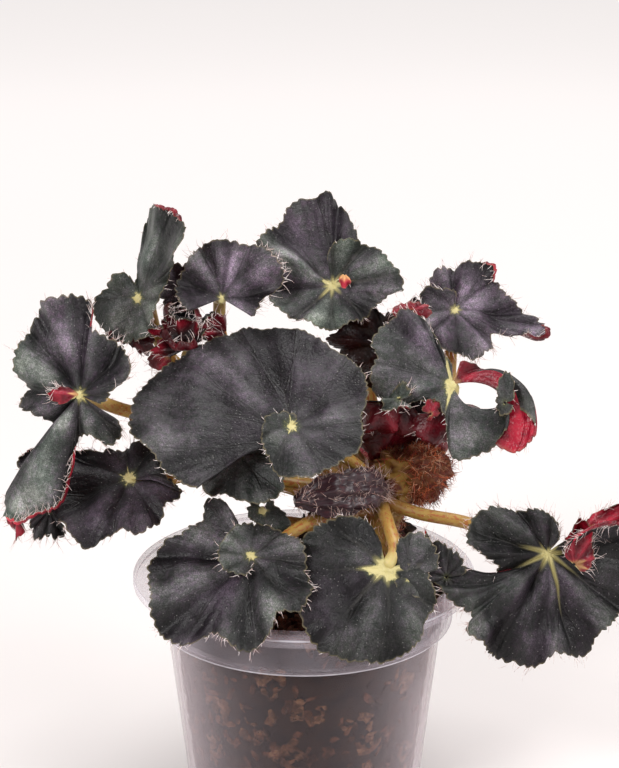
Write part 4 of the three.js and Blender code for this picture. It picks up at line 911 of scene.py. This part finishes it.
def add_sheet(soup, leaf, seed):
    """One blade's sheet, closed by its margin; returns where its lashes grow and which way."""
    places, arcs = blade_rows(leaf)
    widest = max(rib[1] for rib in leaf["ribs"])
    teeth = (0.7 + 0.3 * leaf["relief"]) * margin_teeth(arcs, seed)[:, None]
    wave = np.sin(2 * math.pi * arcs / RUFFLE_PITCH + seed) * 0.5 + arc_noise(arcs, seed + 2, 6)
    ruffle = (RUFFLE * leaf["relief"] * wave)[:, None]
    inner = max(8, int(widest / COLUMN_STEP))
    length = rib_column(leaf, 1, places)[:, None]
    start = np.minimum(0.3, 0.5 / length)
    shares = start + (1 - start - EDGE_BAND / length) * np.linspace(0, 1, inner)[None, :]
    shares = np.concatenate([shares, np.ones_like(length)], axis=1)
    middle, phase, distance, rim, form = blade_surface(leaf, places, shares, teeth, ruffle)
    rows, columns = shares.shape
    along = np.gradient(middle, axis=1)
    around = np.gradient(middle, axis=0)
    normal = unit(np.cross(along, around))
    thick = (BLADE_THICKNESS / 2 * (0.35 + 0.65 * ease_step(rim / 2.0)))[..., None]
    upper, lower = middle + normal * thick, middle - normal * thick
    light, tone, form[..., 2], rays = blade_looks(leaf, places, distance)
    fields = {"polar": stacked(phase, distance, rim), "form": form,
              "kind": stacked(leaf["veins"], tone, leaf["star_size"] * rays),
              "look": stacked(light, leaf["cream"] * rays, leaf.get("vein", 1))}
    base = soup.count
    soup.add(upper, [grid_faces(rows, columns, flip=True)], 0, fields)
    soup.add(lower, [grid_faces(rows, columns)], 1, fields)
    top = np.arange(rows * columns).reshape(rows, columns) + base
    bottom = top + rows * columns
    ring, under = (np.concatenate([face[0], face[1:, -1], face[-1, -2::-1], face[-2:0:-1, 0]])
                   for face in (top, bottom))
    walls = np.stack([ring, np.roll(ring, -1), np.roll(under, -1), under], -1)
    soup.faces.extend(walls.tolist())
    soup.slots.extend([0] * len(walls))
    return {"root": middle[:, -1], "out": unit(along[:, -1]), "side": unit(around[:, -1]),
            "normal": normal[:, -1], "arc": arcs, "azimuth": rib_column(leaf, 0, places)}


def add_hub(soup, leaf):
    """The small knot in the middle of the star."""
    tilt, turn = np.linspace(0, math.pi, HUB_RINGS)[:, None], turns(HUB_SIDES)
    radius = 1.7 * np.sin(tilt) + 0.02
    height = 0.75 * np.cos(tilt) + 0 * turn - 0.15
    points = on_blade(leaf, radius * np.cos(turn), radius * np.sin(turn), height)
    fields = {"polar": [0, 0, 9], "kind": [leaf["veins"], leaf["tone"], leaf["star_size"]],
              "look": [leaf["light"], leaf["cream"], 1], "form": [0, 0, leaf["underside_light"]]}
    fields = {name: np.broadcast_to(value, points.shape) for name, value in fields.items()}
    soup.add(points, ring_faces(HUB_RINGS, HUB_SIDES, flip=True), 0, fields)


# ---- hairs --------------------------------------------------------------------------------------

HAIR_SIDES = 3
BARE = 0.22
LASH_PITCH = 0.8
LASH_RADIUS = 0.14


def add_hairs(soup, roots, ways, lengths, radius, bend, seed, segments=4):
    """Thin tapering hairs, each a closed three-sided spine that bends a seeded random way."""
    count = len(roots)
    if count == 0:
        return
    draw = np.random.default_rng(seed)
    ways = unit(ways)
    swing = unit(np.cross(ways, draw.normal(size=(count, 3))))
    across = unit(np.cross(ways, swing))
    share = np.linspace(0, 1, segments + 1)[None, :, None]
    amount = (bend * draw.uniform(0.3, 1.0, count))[:, None, None]
    reach = lengths[:, None, None]
    line = roots[:, None] + reach * (share * ways[:, None] + amount * share**2 * swing[:, None])
    width = radius * (1 - 0.75 * share)
    points = np.stack([line + width * circling(angle, swing, across)[:, None]
                       for angle in turns(HAIR_SIDES)[0]], axis=2)
    rows = segments + 1
    quads = grid_faces(rows, HAIR_SIDES, wrap=True)
    ends = np.array([[2, 1, 0], [rows * 3 - 3, rows * 3 - 2, rows * 3 - 1]])
    step = np.arange(count)[:, None, None] * rows * HAIR_SIDES
    soup.add(points, [(quads[None] + step).reshape(-1, 4), (ends[None] + step).reshape(-1, 3)])


def lash_hairs(soup, leaf, edge, seed):
    """The lashes along one margin."""
    draw = np.random.default_rng(seed)
    length = edge["arc"][-1]
    count = int(length / LASH_PITCH * (0.35 + 0.8 * leaf["hair"]))
    spots = np.sort(draw.uniform(0, length, count))
    index = np.clip(np.searchsorted(edge["arc"], spots), 0, len(edge["arc"]) - 1)
    thick = np.where(smooth_noise(seed + 1, count, 9) > 0.25, 0.8, BARE)
    azimuth = edge["azimuth"][index]
    for start, end in leaf["hairy"]:
        thick = np.where((azimuth > start) & (azimuth < end), 1.0, thick)
    kept = draw.uniform(0, 1, count) < thick
    index, thick, count = index[kept], thick[kept], int(kept.sum())
    side = draw.normal(0, 0.45, count)[:, None]
    rise = draw.normal(0.15, 0.5, count)[:, None]
    ways = edge["out"][index] + side * edge["side"][index] + rise * edge["normal"][index]
    lengths = draw.uniform(1.2, 4.6, count) * (0.45 + 0.6 * leaf["hair"])
    roots = edge["root"][index] - 0.15 * edge["out"][index]
    add_hairs(soup, roots, ways, lengths * np.where(thick > BARE, 1, 0.5), LASH_RADIUS, 0.6, seed)


# ---- leaf stalks --------------------------------------------------------------------------------

STALK_STEPS = 60
STALK_SIDES = 14


def curve_points(points, count):
    """Centripetal Catmull-Rom curve through points, evenly sampled by length; also its length."""
    points = np.asarray(points, float)
    chain = np.stack([2 * points[0] - points[1], *points, 2 * points[-1] - points[-2]])
    line = []
    for four in zip(chain, chain[1:], chain[2:], chain[3:]):
        pairs = list(zip(four, four[1:]))
        knots = np.cumsum([0] + [math.sqrt(np.linalg.norm(q - p)) for p, q in pairs])
        t = np.linspace(knots[1], knots[2], 24, endpoint=False)[:, None]

        def blend(p, q, low, high):
            return ((high - t) * p + (t - low) * q) / (high - low)

        first = [blend(p, q, knots[i], knots[i + 1]) for i, (p, q) in enumerate(pairs)]
        second = [blend(first[i], first[i + 1], knots[i], knots[i + 2]) for i in range(2)]
        line.append(blend(*second, knots[1], knots[2]))
    line = np.concatenate([*line, points[-1:]])
    passed = travelled(line)
    wanted = np.linspace(0, passed[-1], count)
    return np.stack([np.interp(wanted, passed, line[:, k]) for k in range(3)], -1), passed[-1]


def curve_frames(line):
    """Two directions across a line of points that don't twist along it."""
    tangents = unit(np.gradient(line, axis=0))
    across = np.cross(tangents[0], [0.3, 0.9, 0.2])
    frames = []
    for tangent in tangents:
        across = unit(across - np.dot(across, tangent) * tangent)
        frames.append(across)
    return np.array(frames), np.cross(tangents, frames)


def add_tube(soup, line, radii, sides, ridges=0.0):
    """A closed round tube along a line, with its course as values for the shader."""
    across, beside = curve_frames(line)
    turn = turns(sides)[..., None]
    radii = np.asarray(radii)[:, None, None] * (1 + ridges * np.cos(3 * turn))
    points = line[:, None] + radii * circling(turn, across[:, None], beside[:, None])
    passed = travelled(line)[:, None]
    course = stacked(passed, turn[..., 0], passed / passed[-1])
    soup.add(points, ring_faces(len(line), sides), 0, {"course": course})
    return across, beside


def stalk_line(leaf):
    """The line of a stalk, which ends under the star or, with a sinus angle, comes in beside it."""
    normal, right, top = blade_axes(leaf["facing"])
    out = -normal
    if "sinus" in leaf:
        out = unit(circling(leaf["sinus"] * DEGREE, right, top) + NECK_LIFT * normal)
    centre = np.array(leaf["star"]) - HUB_SINK * normal
    return curve_points([*leaf["stalk"], centre + STALK_REACH * out, centre + 0.6 * out], STALK_STEPS)


def make_stalk(leaf, seed, material, hair):
    """A leaf's fleshy stalk, thicker at its foot, and its short hairs."""
    line, length = stalk_line(leaf)
    share = np.linspace(0, 1, STALK_STEPS)
    flare = 1 + 0.25 * (1 - ease_step(share / 0.12)) + 0.12 * ease_step((share - 0.93) / 0.07)
    radii = STALK_RADIUS * flare * (1 + 0.04 * smooth_noise(seed, STALK_STEPS, 8))
    radii *= min(1, 0.55 + length / 90)
    radii *= 1 - 0.55 * ease_step((share - 0.975) / 0.025)
    soup, hairs = Soup(), Soup()
    across, beside = add_tube(soup, line, radii, STALK_SIDES)
    soup.piece("petiole_" + leaf["name"], [material], "stalk", "stalk_" + leaf["name"])
    draw = np.random.default_rng(seed + 5)
    count = int(length * 1.6)
    index = ((STALK_STEPS - 1) * draw.uniform(0, 1, count) ** 1.6).astype(int)
    outward = circling(draw.uniform(0, 2 * math.pi, count)[:, None], across[index], beside[index])
    roots = line[index] + 0.9 * radii[index][:, None] * outward
    lengths = draw.uniform(0.7, 2.4, count) * (1.4 - 0.8 * share[index])
    ways = outward + 0.5 * draw.normal(size=(count, 3))
    add_hairs(hairs, roots, ways, lengths, 0.08, 0.5, seed + 6, 3)
    hairs.piece("petiole_hairs_" + leaf["name"], [hair], "stalk")


# ---- rhizome and bud ----------------------------------------------------------------------------

RHIZOME_STEPS = 50
RHIZOME_SIDES = 40
LUMP_RINGS = 40
LUMP_SIDES = 64
BUD_STEPS = 70
BUD_SIDES = 72
STEM_HAIRS, CROWN_HAIRS, KNOB_HAIRS, BUD_HAIRS = 900, 420, 1500, 650
# The shares of the coats of hair, in their order, on the knob and on the rest of the stem.
KNOB_COATS = (0.6, 0.1, 0.3)
STEM_COATS = (0.2, 0.4, 0.4)


def sphere_points(rings, sides):
    tilt, turn = np.linspace(0, math.pi, rings)[:, None], turns(sides)
    return stacked(np.sin(tilt) * np.cos(turn), np.sin(tilt) * np.sin(turn), np.cos(tilt))


def lumps(points, seed, size):
    """A sum of a few seeded waves over space, between about -1 and 1."""
    draw = np.random.default_rng(seed)
    total = 0
    for _ in range(6):
        way = unit(draw.normal(size=3))
        pitch = size * draw.uniform(0.7, 1.5)
        total = total + np.sin(points @ way * 2 * math.pi / pitch + draw.uniform(0, 6))
    return total / 3


def add_lump(soup, centre, radii, seed):
    """A knobbly closed body round a centre; returns its points and the directions out of it."""
    ball = sphere_points(LUMP_RINGS, LUMP_SIDES)
    swell = 0.97 + 0.10 * lumps(ball * 10, seed, 9) + 0.14 * lumps(ball * 10, seed + 1, 5)
    points = np.array(centre) + ball * np.array(radii) * swell[..., None]
    soup.add(points, ring_faces(LUMP_RINGS, LUMP_SIDES, flip=True), 0, {"course": 0 * points})
    return points.reshape(-1, 3), unit((points - centre) / np.array(radii) ** 2).reshape(-1, 3)


def make_rhizome(material, coats):
    """The creeping stem with its crown and knob, in three colours of hair."""
    soup = Soup()
    line = curve_points(RHIZOME_ROUTE, RHIZOME_STEPS)[0]
    radii = RHIZOME_RADIUS * (1 + 0.07 * smooth_noise(3, RHIZOME_STEPS, 5))
    across, beside = add_tube(soup, line, radii, RHIZOME_SIDES, 0.03)
    crown = add_lump(soup, RHIZOME_ROUTE[-1], [CROWN_RADIUS] * 3, 11)
    knob = add_lump(soup, KNOB_CENTRE, KNOB_RADII, 12)
    soup.piece("creeping_stem", [material], "rhizome", "rhizome")
    draw = np.random.default_rng(21)
    index = draw.integers(10, RHIZOME_STEPS, STEM_HAIRS)
    turn = draw.uniform(0, 2 * math.pi, STEM_HAIRS)[:, None]
    way = circling(turn, across[index], beside[index])
    roots, ways = [line[index] + 0.97 * radii[index][:, None] * way], [way]
    for (points, normals), many in ((crown, CROWN_HAIRS), (knob, KNOB_HAIRS)):
        some = draw.integers(0, len(points), many)
        roots.append(points[some])
        ways.append(normals[some])
    roots, ways = np.concatenate(roots), np.concatenate(ways)
    keep = roots[:, 2] > SOIL_TOP + 2
    roots, ways = roots[keep], ways[keep]
    ways = ways + 0.55 * draw.normal(size=ways.shape) - np.array([0, 0, 0.25])
    lengths = draw.uniform(1.6, 4.2, len(roots))
    on_knob = np.linalg.norm(roots - np.array(KNOB_CENTRE), axis=1) < 1.35 * KNOB_RADII[0]
    knob_coat, stem_coat = (draw.choice(3, len(roots), p=shares) for shares in (KNOB_COATS, STEM_COATS))
    for number, (name, tone) in enumerate(coats.items()):
        mine = np.where(on_knob, knob_coat, stem_coat) == number
        coat = Soup()
        sunk = roots[mine] - 0.3 * unit(ways[mine])
        add_hairs(coat, sunk, ways[mine], lengths[mine], 0.17, 0.9, 30 + number)
        coat.piece("stem_hairs_" + name, [tone], "rhizome")


def make_bud(material, hair):
    """The young leaf that is still folded, and its hairs."""
    line = curve_points(BUD_ROUTE, BUD_STEPS)[0]
    share = np.linspace(0, 1, BUD_STEPS)
    radii = through_list(BUD_RADII, share * (len(BUD_RADII) - 1))
    across, beside = curve_frames(line)
    turn, along = turns(BUD_SIDES), share[:, None]
    ridge = 1 + 0.14 * np.cos(3 * turn + 4 * along) + 0.12 * np.cos(8 * turn - 6 * along)
    ridge = ridge + 0.05 * np.cos(17 * turn + 9 * along) + 0.05 * np.sin(along * 40 + 2 * turn)
    way = circling(turn[..., None], across[:, None], beside[:, None])
    points = line[:, None] + (radii[:, None] * ridge)[..., None] * way
    soup, hairs = Soup(), Soup()
    soup.add(points, ring_faces(BUD_STEPS, BUD_SIDES))
    soup.piece("folded_leaf", [material], "bud", "bud")
    draw = np.random.default_rng(41)
    i = ((BUD_STEPS - 1) * draw.uniform(0, 1, BUD_HAIRS) ** 1.9).astype(int)
    j = draw.integers(0, BUD_SIDES, BUD_HAIRS)
    ways = way[i, j] + 0.6 * draw.normal(size=(BUD_HAIRS, 3))
    lengths = draw.uniform(1.5, 4.5, BUD_HAIRS)
    add_hairs(hairs, points[i, j] - 0.1 * way[i, j], ways, lengths, 0.13, 0.6, 42)
    hairs.piece("folded_leaf_hairs", [hair], "bud")


# ---- pot and bark mix ---------------------------------------------------------------------------

POT_SIDES = 144
CORNER = 0.45
DRILL_SIDES = 32
DRILL_DEPTH = 6
CHIP_COUNTS = {"side": 800, "top": 520}
# Places on the wall where the paler chips gather: x and z, the radius, and the same turned half round.
CHIP_PATCHES = [[-17, 43, 8], [-28, 43, 5], [2, 49, 5.5], [-5, 30, 6], [20, 38, 7], [22, 28, 6],
                [-12, 60, 5], [34, 52, 5], [-36, 26, 6], [8, 16, 7], [-22, 15, 6], [38, 20, 6]]
CHIP_INSET = 1.5
TOP_REACH = 49
FINES_INSET = 1.8
FINES_SIDES = 160
MOUND_PLACE = (18, 26)
MOUND_RADII = (27, 19)
MOUND_HEIGHT = 16


def body_radius(z):
    """Outside radius of the pot's tapering body at a height."""
    return FOOT_RADIUS + (BODY_TOP_RADIUS - FOOT_RADIUS) * z / (POT_HEIGHT - COLLAR_HEIGHT)


def inner_radius(z):
    """Inside radius of the pot at a height."""
    step = POT_HEIGHT - COLLAR_HEIGHT + POT_WALL
    return np.where(z < step, body_radius(z), COLLAR_FOOT_RADIUS) - POT_WALL


def rounded(profile, radius, steps=4):
    """A closed profile with each corner replaced by a short arc."""
    profile = np.asarray(profile, float)
    points = []
    for before, corner, after in zip(np.roll(profile, 1, 0), profile, np.roll(profile, -1, 0)):
        if corner[0] == 0:
            points.append(corner)
            continue
        start, end = (corner + min(radius, 0.45 * np.linalg.norm(other - corner)) * unit(other - corner)
                      for other in (before, after))
        for t in np.linspace(0, 1, steps + 1):
            points.append((1 - t) ** 2 * start + 2 * t * (1 - t) * corner + t**2 * end)
    return np.array(points)


def add_lathe(soup, profile, sides, slots=None):
    """A body of revolution from a profile that starts and ends on the axis."""
    ring, turn = profile[1:-1], turns(sides)
    points = stacked(ring[:, :1] * np.cos(turn), ring[:, :1] * np.sin(turn), ring[:, 1:] + 0 * turn)
    poles = [[0, 0, profile[0][1]], [0, 0, profile[-1][1]]]
    rows = len(ring)
    soup.add(np.concatenate([points.reshape(-1, 3), poles]), [grid_faces(rows, sides, wrap=True)])
    if slots is not None:
        soup.slots[:] = np.repeat([slots(*pair) for pair in zip(ring, ring[1:])], sides).tolist()
    j = np.arange(sides)
    after, pole, top = (j + 1) % sides, np.full(sides, rows * sides), (rows - 1) * sides
    for fan in ((pole, after, j), (pole + 1, top + j, top + after)):
        soup.faces.extend(np.stack(fan, -1).tolist())
        soup.slots.extend([0] * sides)


def cut_holes(made):
    """Cuts round drain holes through the raised ring of the base."""
    for k in range(DRAIN_COUNT):
        angle = 2 * math.pi * k / DRAIN_COUNT
        x, y = DRAIN_CIRCLE * MM * math.cos(angle), DRAIN_CIRCLE * MM * math.sin(angle)
        bpy.ops.mesh.primitive_cylinder_add(vertices=DRILL_SIDES, radius=DRAIN_RADIUS * MM,
                                            depth=DRILL_DEPTH * MM, location=(x, y, CHANNEL_HEIGHT * MM))
        drill = bpy.context.object
        cut = made.modifiers.new("drain", "BOOLEAN")
        cut.operation, cut.object, cut.solver = "DIFFERENCE", drill, "EXACT"
        with bpy.context.temp_override(object=made, active_object=made):
            bpy.ops.object.modifier_apply(modifier=cut.name)
        bpy.data.objects.remove(drill)


def make_pot(materials):
    """The clear pot, turned from one closed profile; its materials are for body, collar and the edges'
    painted highlights.
    """
    step = POT_HEIGHT - COLLAR_HEIGHT
    under = POT_HEIGHT - FLANGE_THICKNESS
    drop = POT_HEIGHT - RIM_DROP
    ring = FOOT_RADIUS - FOOT_RING_WIDTH
    floor = CHANNEL_HEIGHT + POT_WALL
    outside = [[0, 0], [PAD_RADIUS, 0], [PAD_RADIUS + 1.5, CHANNEL_HEIGHT], [ring - 0.5, CHANNEL_HEIGHT],
               [ring, 0], [FOOT_RADIUS, 0], [BODY_TOP_RADIUS, step - 0.6], [BODY_TOP_RADIUS + 0.5, step],
               [COLLAR_FOOT_RADIUS, step], [COLLAR_FOOT_RADIUS + 0.35, step + 0.9],
               [COLLAR_FOOT_RADIUS + 0.05, step + 1.8], [COLLAR_TOP_RADIUS, under],
               [RIM_RADIUS - POT_WALL, under], [RIM_RADIUS - POT_WALL, drop],
               [RIM_RADIUS, drop], [RIM_RADIUS, POT_HEIGHT]]
    inside = [[COLLAR_TOP_RADIUS - POT_WALL, POT_HEIGHT], [COLLAR_FOOT_RADIUS - POT_WALL, step + POT_WALL],
              [body_radius(step) - POT_WALL, step + POT_WALL], [body_radius(floor) - POT_WALL, floor],
              [PAD_RADIUS + 0.5, floor], [PAD_RADIUS - POT_WALL, POT_WALL], [0, POT_WALL]]

    def band(start, end):
        """0 for the thin body, 1 for the collar, 2 for the edges, which are painted as light lines of
        highlight.
        """
        radius, height = (start + end) / 2
        foot = radius > COLLAR_FOOT_RADIUS - 0.4 and step - 0.1 < height < step + 0.7
        lip = radius > RIM_RADIUS - 0.6 and height > POT_HEIGHT - 0.7
        ground = radius > ring and height < 0.9
        return 2 if foot or lip or ground else int(height > step - 1.2)

    soup = Soup()
    add_lathe(soup, rounded(outside + inside, CORNER), POT_SIDES, band)
    cut_holes(soup.piece("clear_pot", materials, "pot_plastic", "pot"))


def mound(x, y):
    """How far the bark is heaped up round the foot of the creeping stem."""
    away = ((x - MOUND_PLACE[0]) / MOUND_RADII[0]) ** 2 + ((y - MOUND_PLACE[1]) / MOUND_RADII[1]) ** 2
    return MOUND_HEIGHT * ease_step(1.15 - away)


def add_chip(soup, ball, centre, axes, size, seed):
    """One flat, torn bark chip, kept inside the pot."""
    draw = np.random.default_rng(seed)
    shape = ball * (1 + 0.5 * lumps(ball * 3, seed, 2.2)[..., None])
    shape = np.sign(shape) * np.abs(shape) ** 0.7 * np.array(size) / 2
    shape[..., 2] += 0.12 * size[0] * np.sin(shape[..., 0] * draw.uniform(0.2, 0.8))
    points = np.array(centre) + shape @ axes
    limit = inner_radius(points[..., 2]) - CHIP_INSET
    points[..., :2] *= np.minimum(1, limit / np.hypot(points[..., 0], points[..., 1]))[..., None]
    points[..., 2] = np.maximum(points[..., 2], CHANNEL_HEIGHT + POT_WALL + 0.3)
    soup.add(points, ring_faces(*ball.shape[:2], flip=True))


def chip_axes(draw, facing, tilt):
    """Three axes of a chip that faces about one way."""
    facing = unit(facing + tilt * draw.normal(size=3))
    first = unit(np.cross(facing, draw.normal(size=3)))
    return np.array([first, np.cross(facing, first), facing])


def make_fines(floor, material):
    """The dark fines that fill the pot, rough at the wall and heaped round the stem."""
    heights = np.linspace(floor, SOIL_TOP - 1, 70)
    wall = np.stack([inner_radius(heights) - FINES_INSET, heights], -1)
    cover = np.stack([np.linspace(wall[-1][0] - 1, 0, 40), np.full(40, SOIL_TOP)], -1)
    base = [[0, POT_WALL + GAP], [PAD_RADIUS - 2, POT_WALL + GAP], [PAD_RADIUS + 0.2, floor]]
    body = Soup()
    add_lathe(body, np.concatenate([base, wall, cover]), FINES_SIDES)
    points = body.points[0]
    rough = lumps(points, 51, 9) * 0.5 + lumps(points, 52, 3.5) * 0.5
    radius = np.hypot(points[:, 0], points[:, 1])
    on_side = (points[:, 2] > floor + 0.5) & (points[:, 2] < SOIL_TOP - 0.5)
    pull = np.where(on_side, 0.7 * (np.abs(rough) * 1.2), 0)
    points[:, :2] *= 1 - (pull / np.maximum(radius, 1))[:, None]
    heap = 1.3 * rough + mound(points[:, 0], points[:, 1])
    points[:, 2] += np.where(points[:, 2] >= SOIL_TOP - 0.5, heap, 0)
    body.piece("bark_fines", [material], "bark_mix", "soil")


def make_bark(fines, chips):
    """The bark mix: dark fines with chips against the wall and on top."""
    floor = CHANNEL_HEIGHT + POT_WALL + GAP
    make_fines(floor, fines)
    draw = np.random.default_rng(61)
    ball = sphere_points(7, 10)
    groups = [Soup() for _ in chips]
    for k in range(CHIP_COUNTS["side"]):
        height = draw.uniform(floor + 2, SOIL_TOP - 2)
        angle = draw.uniform(0, 2 * math.pi)
        pick = (3, 2, 0)[np.searchsorted((0.7, 0.94), draw.uniform())]
        if k % 5 < 2:
            x, z, reach = CHIP_PATCHES[k // 5 % len(CHIP_PATCHES)]
            apart = reach * math.sqrt(draw.uniform())
            height = max(floor + 1, z + apart * math.sin(angle))
            aside = (x + apart * math.cos(angle)) / inner_radius(height)
            angle = math.pi * (k % 5) - math.acos(min(0.97, max(-0.97, aside)))
            pick = draw.integers(2)
        out = np.array([math.cos(angle), math.sin(angle), 0])
        size = (draw.uniform(2.2, 7), draw.uniform(1.2, 3.4), draw.uniform(0.8, 1.8))
        axes = chip_axes(draw, out, 0.35)
        centre = out * (inner_radius(height) - draw.uniform(1.7, 2.6)) + np.array([0, 0, height])
        add_chip(groups[pick], ball, centre, axes, size, 1000 + k)
    for k in range(CHIP_COUNTS["top"]):
        angle, radius = draw.uniform(0, 2 * math.pi), TOP_REACH * math.sqrt(draw.uniform(0, 1))
        size = (draw.uniform(3, 9), draw.uniform(2, 5), draw.uniform(0.9, 2.2))
        axes = chip_axes(draw, np.array([0, 0, 1]), 0.5)
        x, y = radius * math.cos(angle), radius * math.sin(angle)
        centre = [x, y, SOIL_TOP + mound(x, y) + draw.uniform(0, 1.6)]
        # Near the front wall the top chips are only brown or tan, never dark: painted light where light
        # comes in through the clear wall.
        pick = draw.integers(2) if y < -34 else draw.integers(3)
        add_chip(groups[pick], ball, centre, axes, size, 3000 + k)
    for group, (name, material) in zip(groups, chips.items()):
        group.piece("bark_chips_" + name, [material], "bark_mix")


# ---- the plant and its container ----------------------------------------------------------------

# Each hair's colours at two places, and each bark's dark and light.
HAIR_COLOURS = {
    "pale": [(0.60, 0.45, 0.42), (0.88, 0.80, 0.78)],
    "amber": [(0.45, 0.25, 0.10), (0.70, 0.50, 0.28)],
    "pink": [(0.48, 0.28, 0.24), (0.80, 0.64, 0.58)],
}
COAT_COLOURS = {
    "rust": [(0.18, 0.020, 0.01), (0.60, 0.14, 0.05)],
    "red": [(0.07, 0.008, 0.006), (0.36, 0.04, 0.03)],
    "tan": [(0.20, 0.07, 0.02), (0.66, 0.38, 0.24)],
}
CHIP_COLOURS = {
    "brown": [(0.050, 0.022, 0.013), (0.19, 0.082, 0.044)],
    "tan": [(0.080, 0.036, 0.020), (0.32, 0.16, 0.090)],
    "dark": [(0.014, 0.008, 0.006), (0.045, 0.020, 0.013)],
    "umber": [(0.034, 0.015, 0.010), (0.17, 0.070, 0.042)],
}
FINES_COLOURS = [(0.010, 0.006, 0.006), (0.038, 0.019, 0.013)]


def make_blade(leaf, seed, upper, lower, hair):
    """A leaf's blade with its crests and its folded half, and its lashes."""
    soup, lashes = Soup(), Soup()
    sheets = [leaf] + [{**leaf, **PLAIN_CREST, **crest} for crest in leaf.get("crests", [])]
    if "folded" in leaf:
        sheets.append({**leaf, **leaf["folded"]})
    for k, sheet in enumerate(sheets):
        start = seed + sheet.get("draw", 7 * k)
        edge = add_sheet(soup, sheet, start)
        lash_hairs(lashes, sheet, edge, start + 3)
    add_hub(soup, leaf)
    slot = "leaf_underside" if leaf.get("under") else "leaf"
    soup.piece("leaf_" + leaf["name"], [upper, lower], slot, "blade_" + leaf["name"])
    lashes.piece("lashes_" + leaf["name"], [hair], slot)


def make_plant():
    hairs = {name: hair_material(name, *pair) for name, pair in HAIR_COLOURS.items()}
    coats = {name: hair_material(name, *pair, 0.16) for name, pair in COAT_COLOURS.items()}
    upper, lower, stalk = leaf_upper_material(), leaf_lower_material(), stalk_material()
    for number, leaf in enumerate(LEAVES):
        leaf = {**PLAIN_LEAF, **leaf}
        make_blade(leaf, 100 * number, upper, lower, hairs["pale"])
        make_stalk(leaf, 100 * number + 50, stalk, hairs["amber"])
    make_rhizome(rhizome_material(), coats)
    make_bud(bud_material(), hairs["pink"])


def make_container():
    make_pot([plastic_material("wall", 0.004, 0.62, 0.32, (0.74, 0.64, 0.68)),
              plastic_material("collar", 0.10, 0.55, 0.5, (0.68, 0.62, 0.69)),
              # The edge material is lighter and more opaque: painted highlights on the lip, the collar's
              # foot and the foot ring.
              plastic_material("edge", 0.50, 0.30, 0.5, (0.80, 0.77, 0.84))])
    chips = {name: bark_material(name, *pair) for name, pair in CHIP_COLOURS.items()}
    make_bark(bark_material("fines", *FINES_COLOURS, 0.12), chips)


# ---- studio -------------------------------------------------------------------------------------

CAMERA_PLACE = (1.925, -738.29, 390.10)
CAMERA_PITCH = 17.95
CAMERA_LENS = 106.24
CAMERA_SENSOR = 36
WARM_WHITE = (1.0, 0.965, 0.955, 1)
WORLD_STRENGTH = 0.32
LIGHT_AIM = (0, 0, 0.12)
# Each lamp's place and size in metres, its power and its colour.
LIGHTS = {
    "key": [(-0.60, -0.80, 0.85), (0.5, 0.4), 11, (1, 0.985, 0.98)],
    "fill": [(0.85, -0.45, 0.70), (0.5, 0.5), 7, (1, 0.98, 0.98)],
    "top": [(0.15, 0.35, 1.15), (0.7, 0.5), 8, (1, 0.99, 0.985)],
}
FLOOR_RINGS = 24
FLOOR_SIDES = 64
FLOOR_REACH = 7000


def make_light(name, place, size, power, colour):
    lamp = bpy.data.lights.new(name, "AREA")
    lamp.shape, lamp.size, lamp.size_y = "RECTANGLE", *size
    lamp.energy, lamp.color = power, colour
    made = bpy.data.objects.new(name, lamp)
    bpy.context.scene.collection.objects.link(made)
    x, y, z = np.array(LIGHT_AIM) - np.array(place)
    made.location = place
    made.rotation_euler = (math.atan2(math.hypot(x, y), -z), 0, math.atan2(y, x) - math.pi / 2)


def make_floor():
    turn = turns(FLOOR_SIDES)
    radius = np.linspace(0, 1, FLOOR_RINGS)[:, None] ** 2 * FLOOR_REACH + 1
    points = stacked(radius * np.cos(turn), radius * np.sin(turn), 0 * radius * turn)
    faces = [*grid_faces(FLOOR_RINGS, FLOOR_SIDES, wrap=True).tolist(), list(range(FLOOR_SIDES))[::-1]]
    mesh = bpy.data.meshes.new("floor")
    mesh.from_pydata((points.reshape(-1, 3) * MM).tolist(), [], faces)
    mesh.materials.append(floor_material())
    floor = bpy.data.objects.new("floor", mesh)
    bpy.context.scene.collection.objects.link(floor)


def make_camera():
    camera = bpy.data.objects.new("camera", bpy.data.cameras.new("camera"))
    bpy.context.scene.collection.objects.link(camera)
    camera.data.lens, camera.data.sensor_width = CAMERA_LENS, CAMERA_SENSOR
    camera.data.clip_start, camera.data.clip_end = 0.05, 30
    camera.location = tuple(value * MM for value in CAMERA_PLACE)
    camera.rotation_euler = ((90 - CAMERA_PITCH) * DEGREE, 0, 0)
    bpy.context.scene.camera = camera


def make_studio():
    bpy.context.scene.view_settings.view_transform = "Standard"
    make_floor()
    world = bpy.data.worlds.new("studio")
    world.use_nodes = True
    backdrop = world.node_tree.nodes["Background"]
    backdrop.inputs["Color"].default_value = WARM_WHITE
    backdrop.inputs["Strength"].default_value = WORLD_STRENGTH
    bpy.context.scene.world = world
    for name, setting in LIGHTS.items():
        make_light(name, *setting)
    make_camera()


make_studio()
make_container()
make_plant()
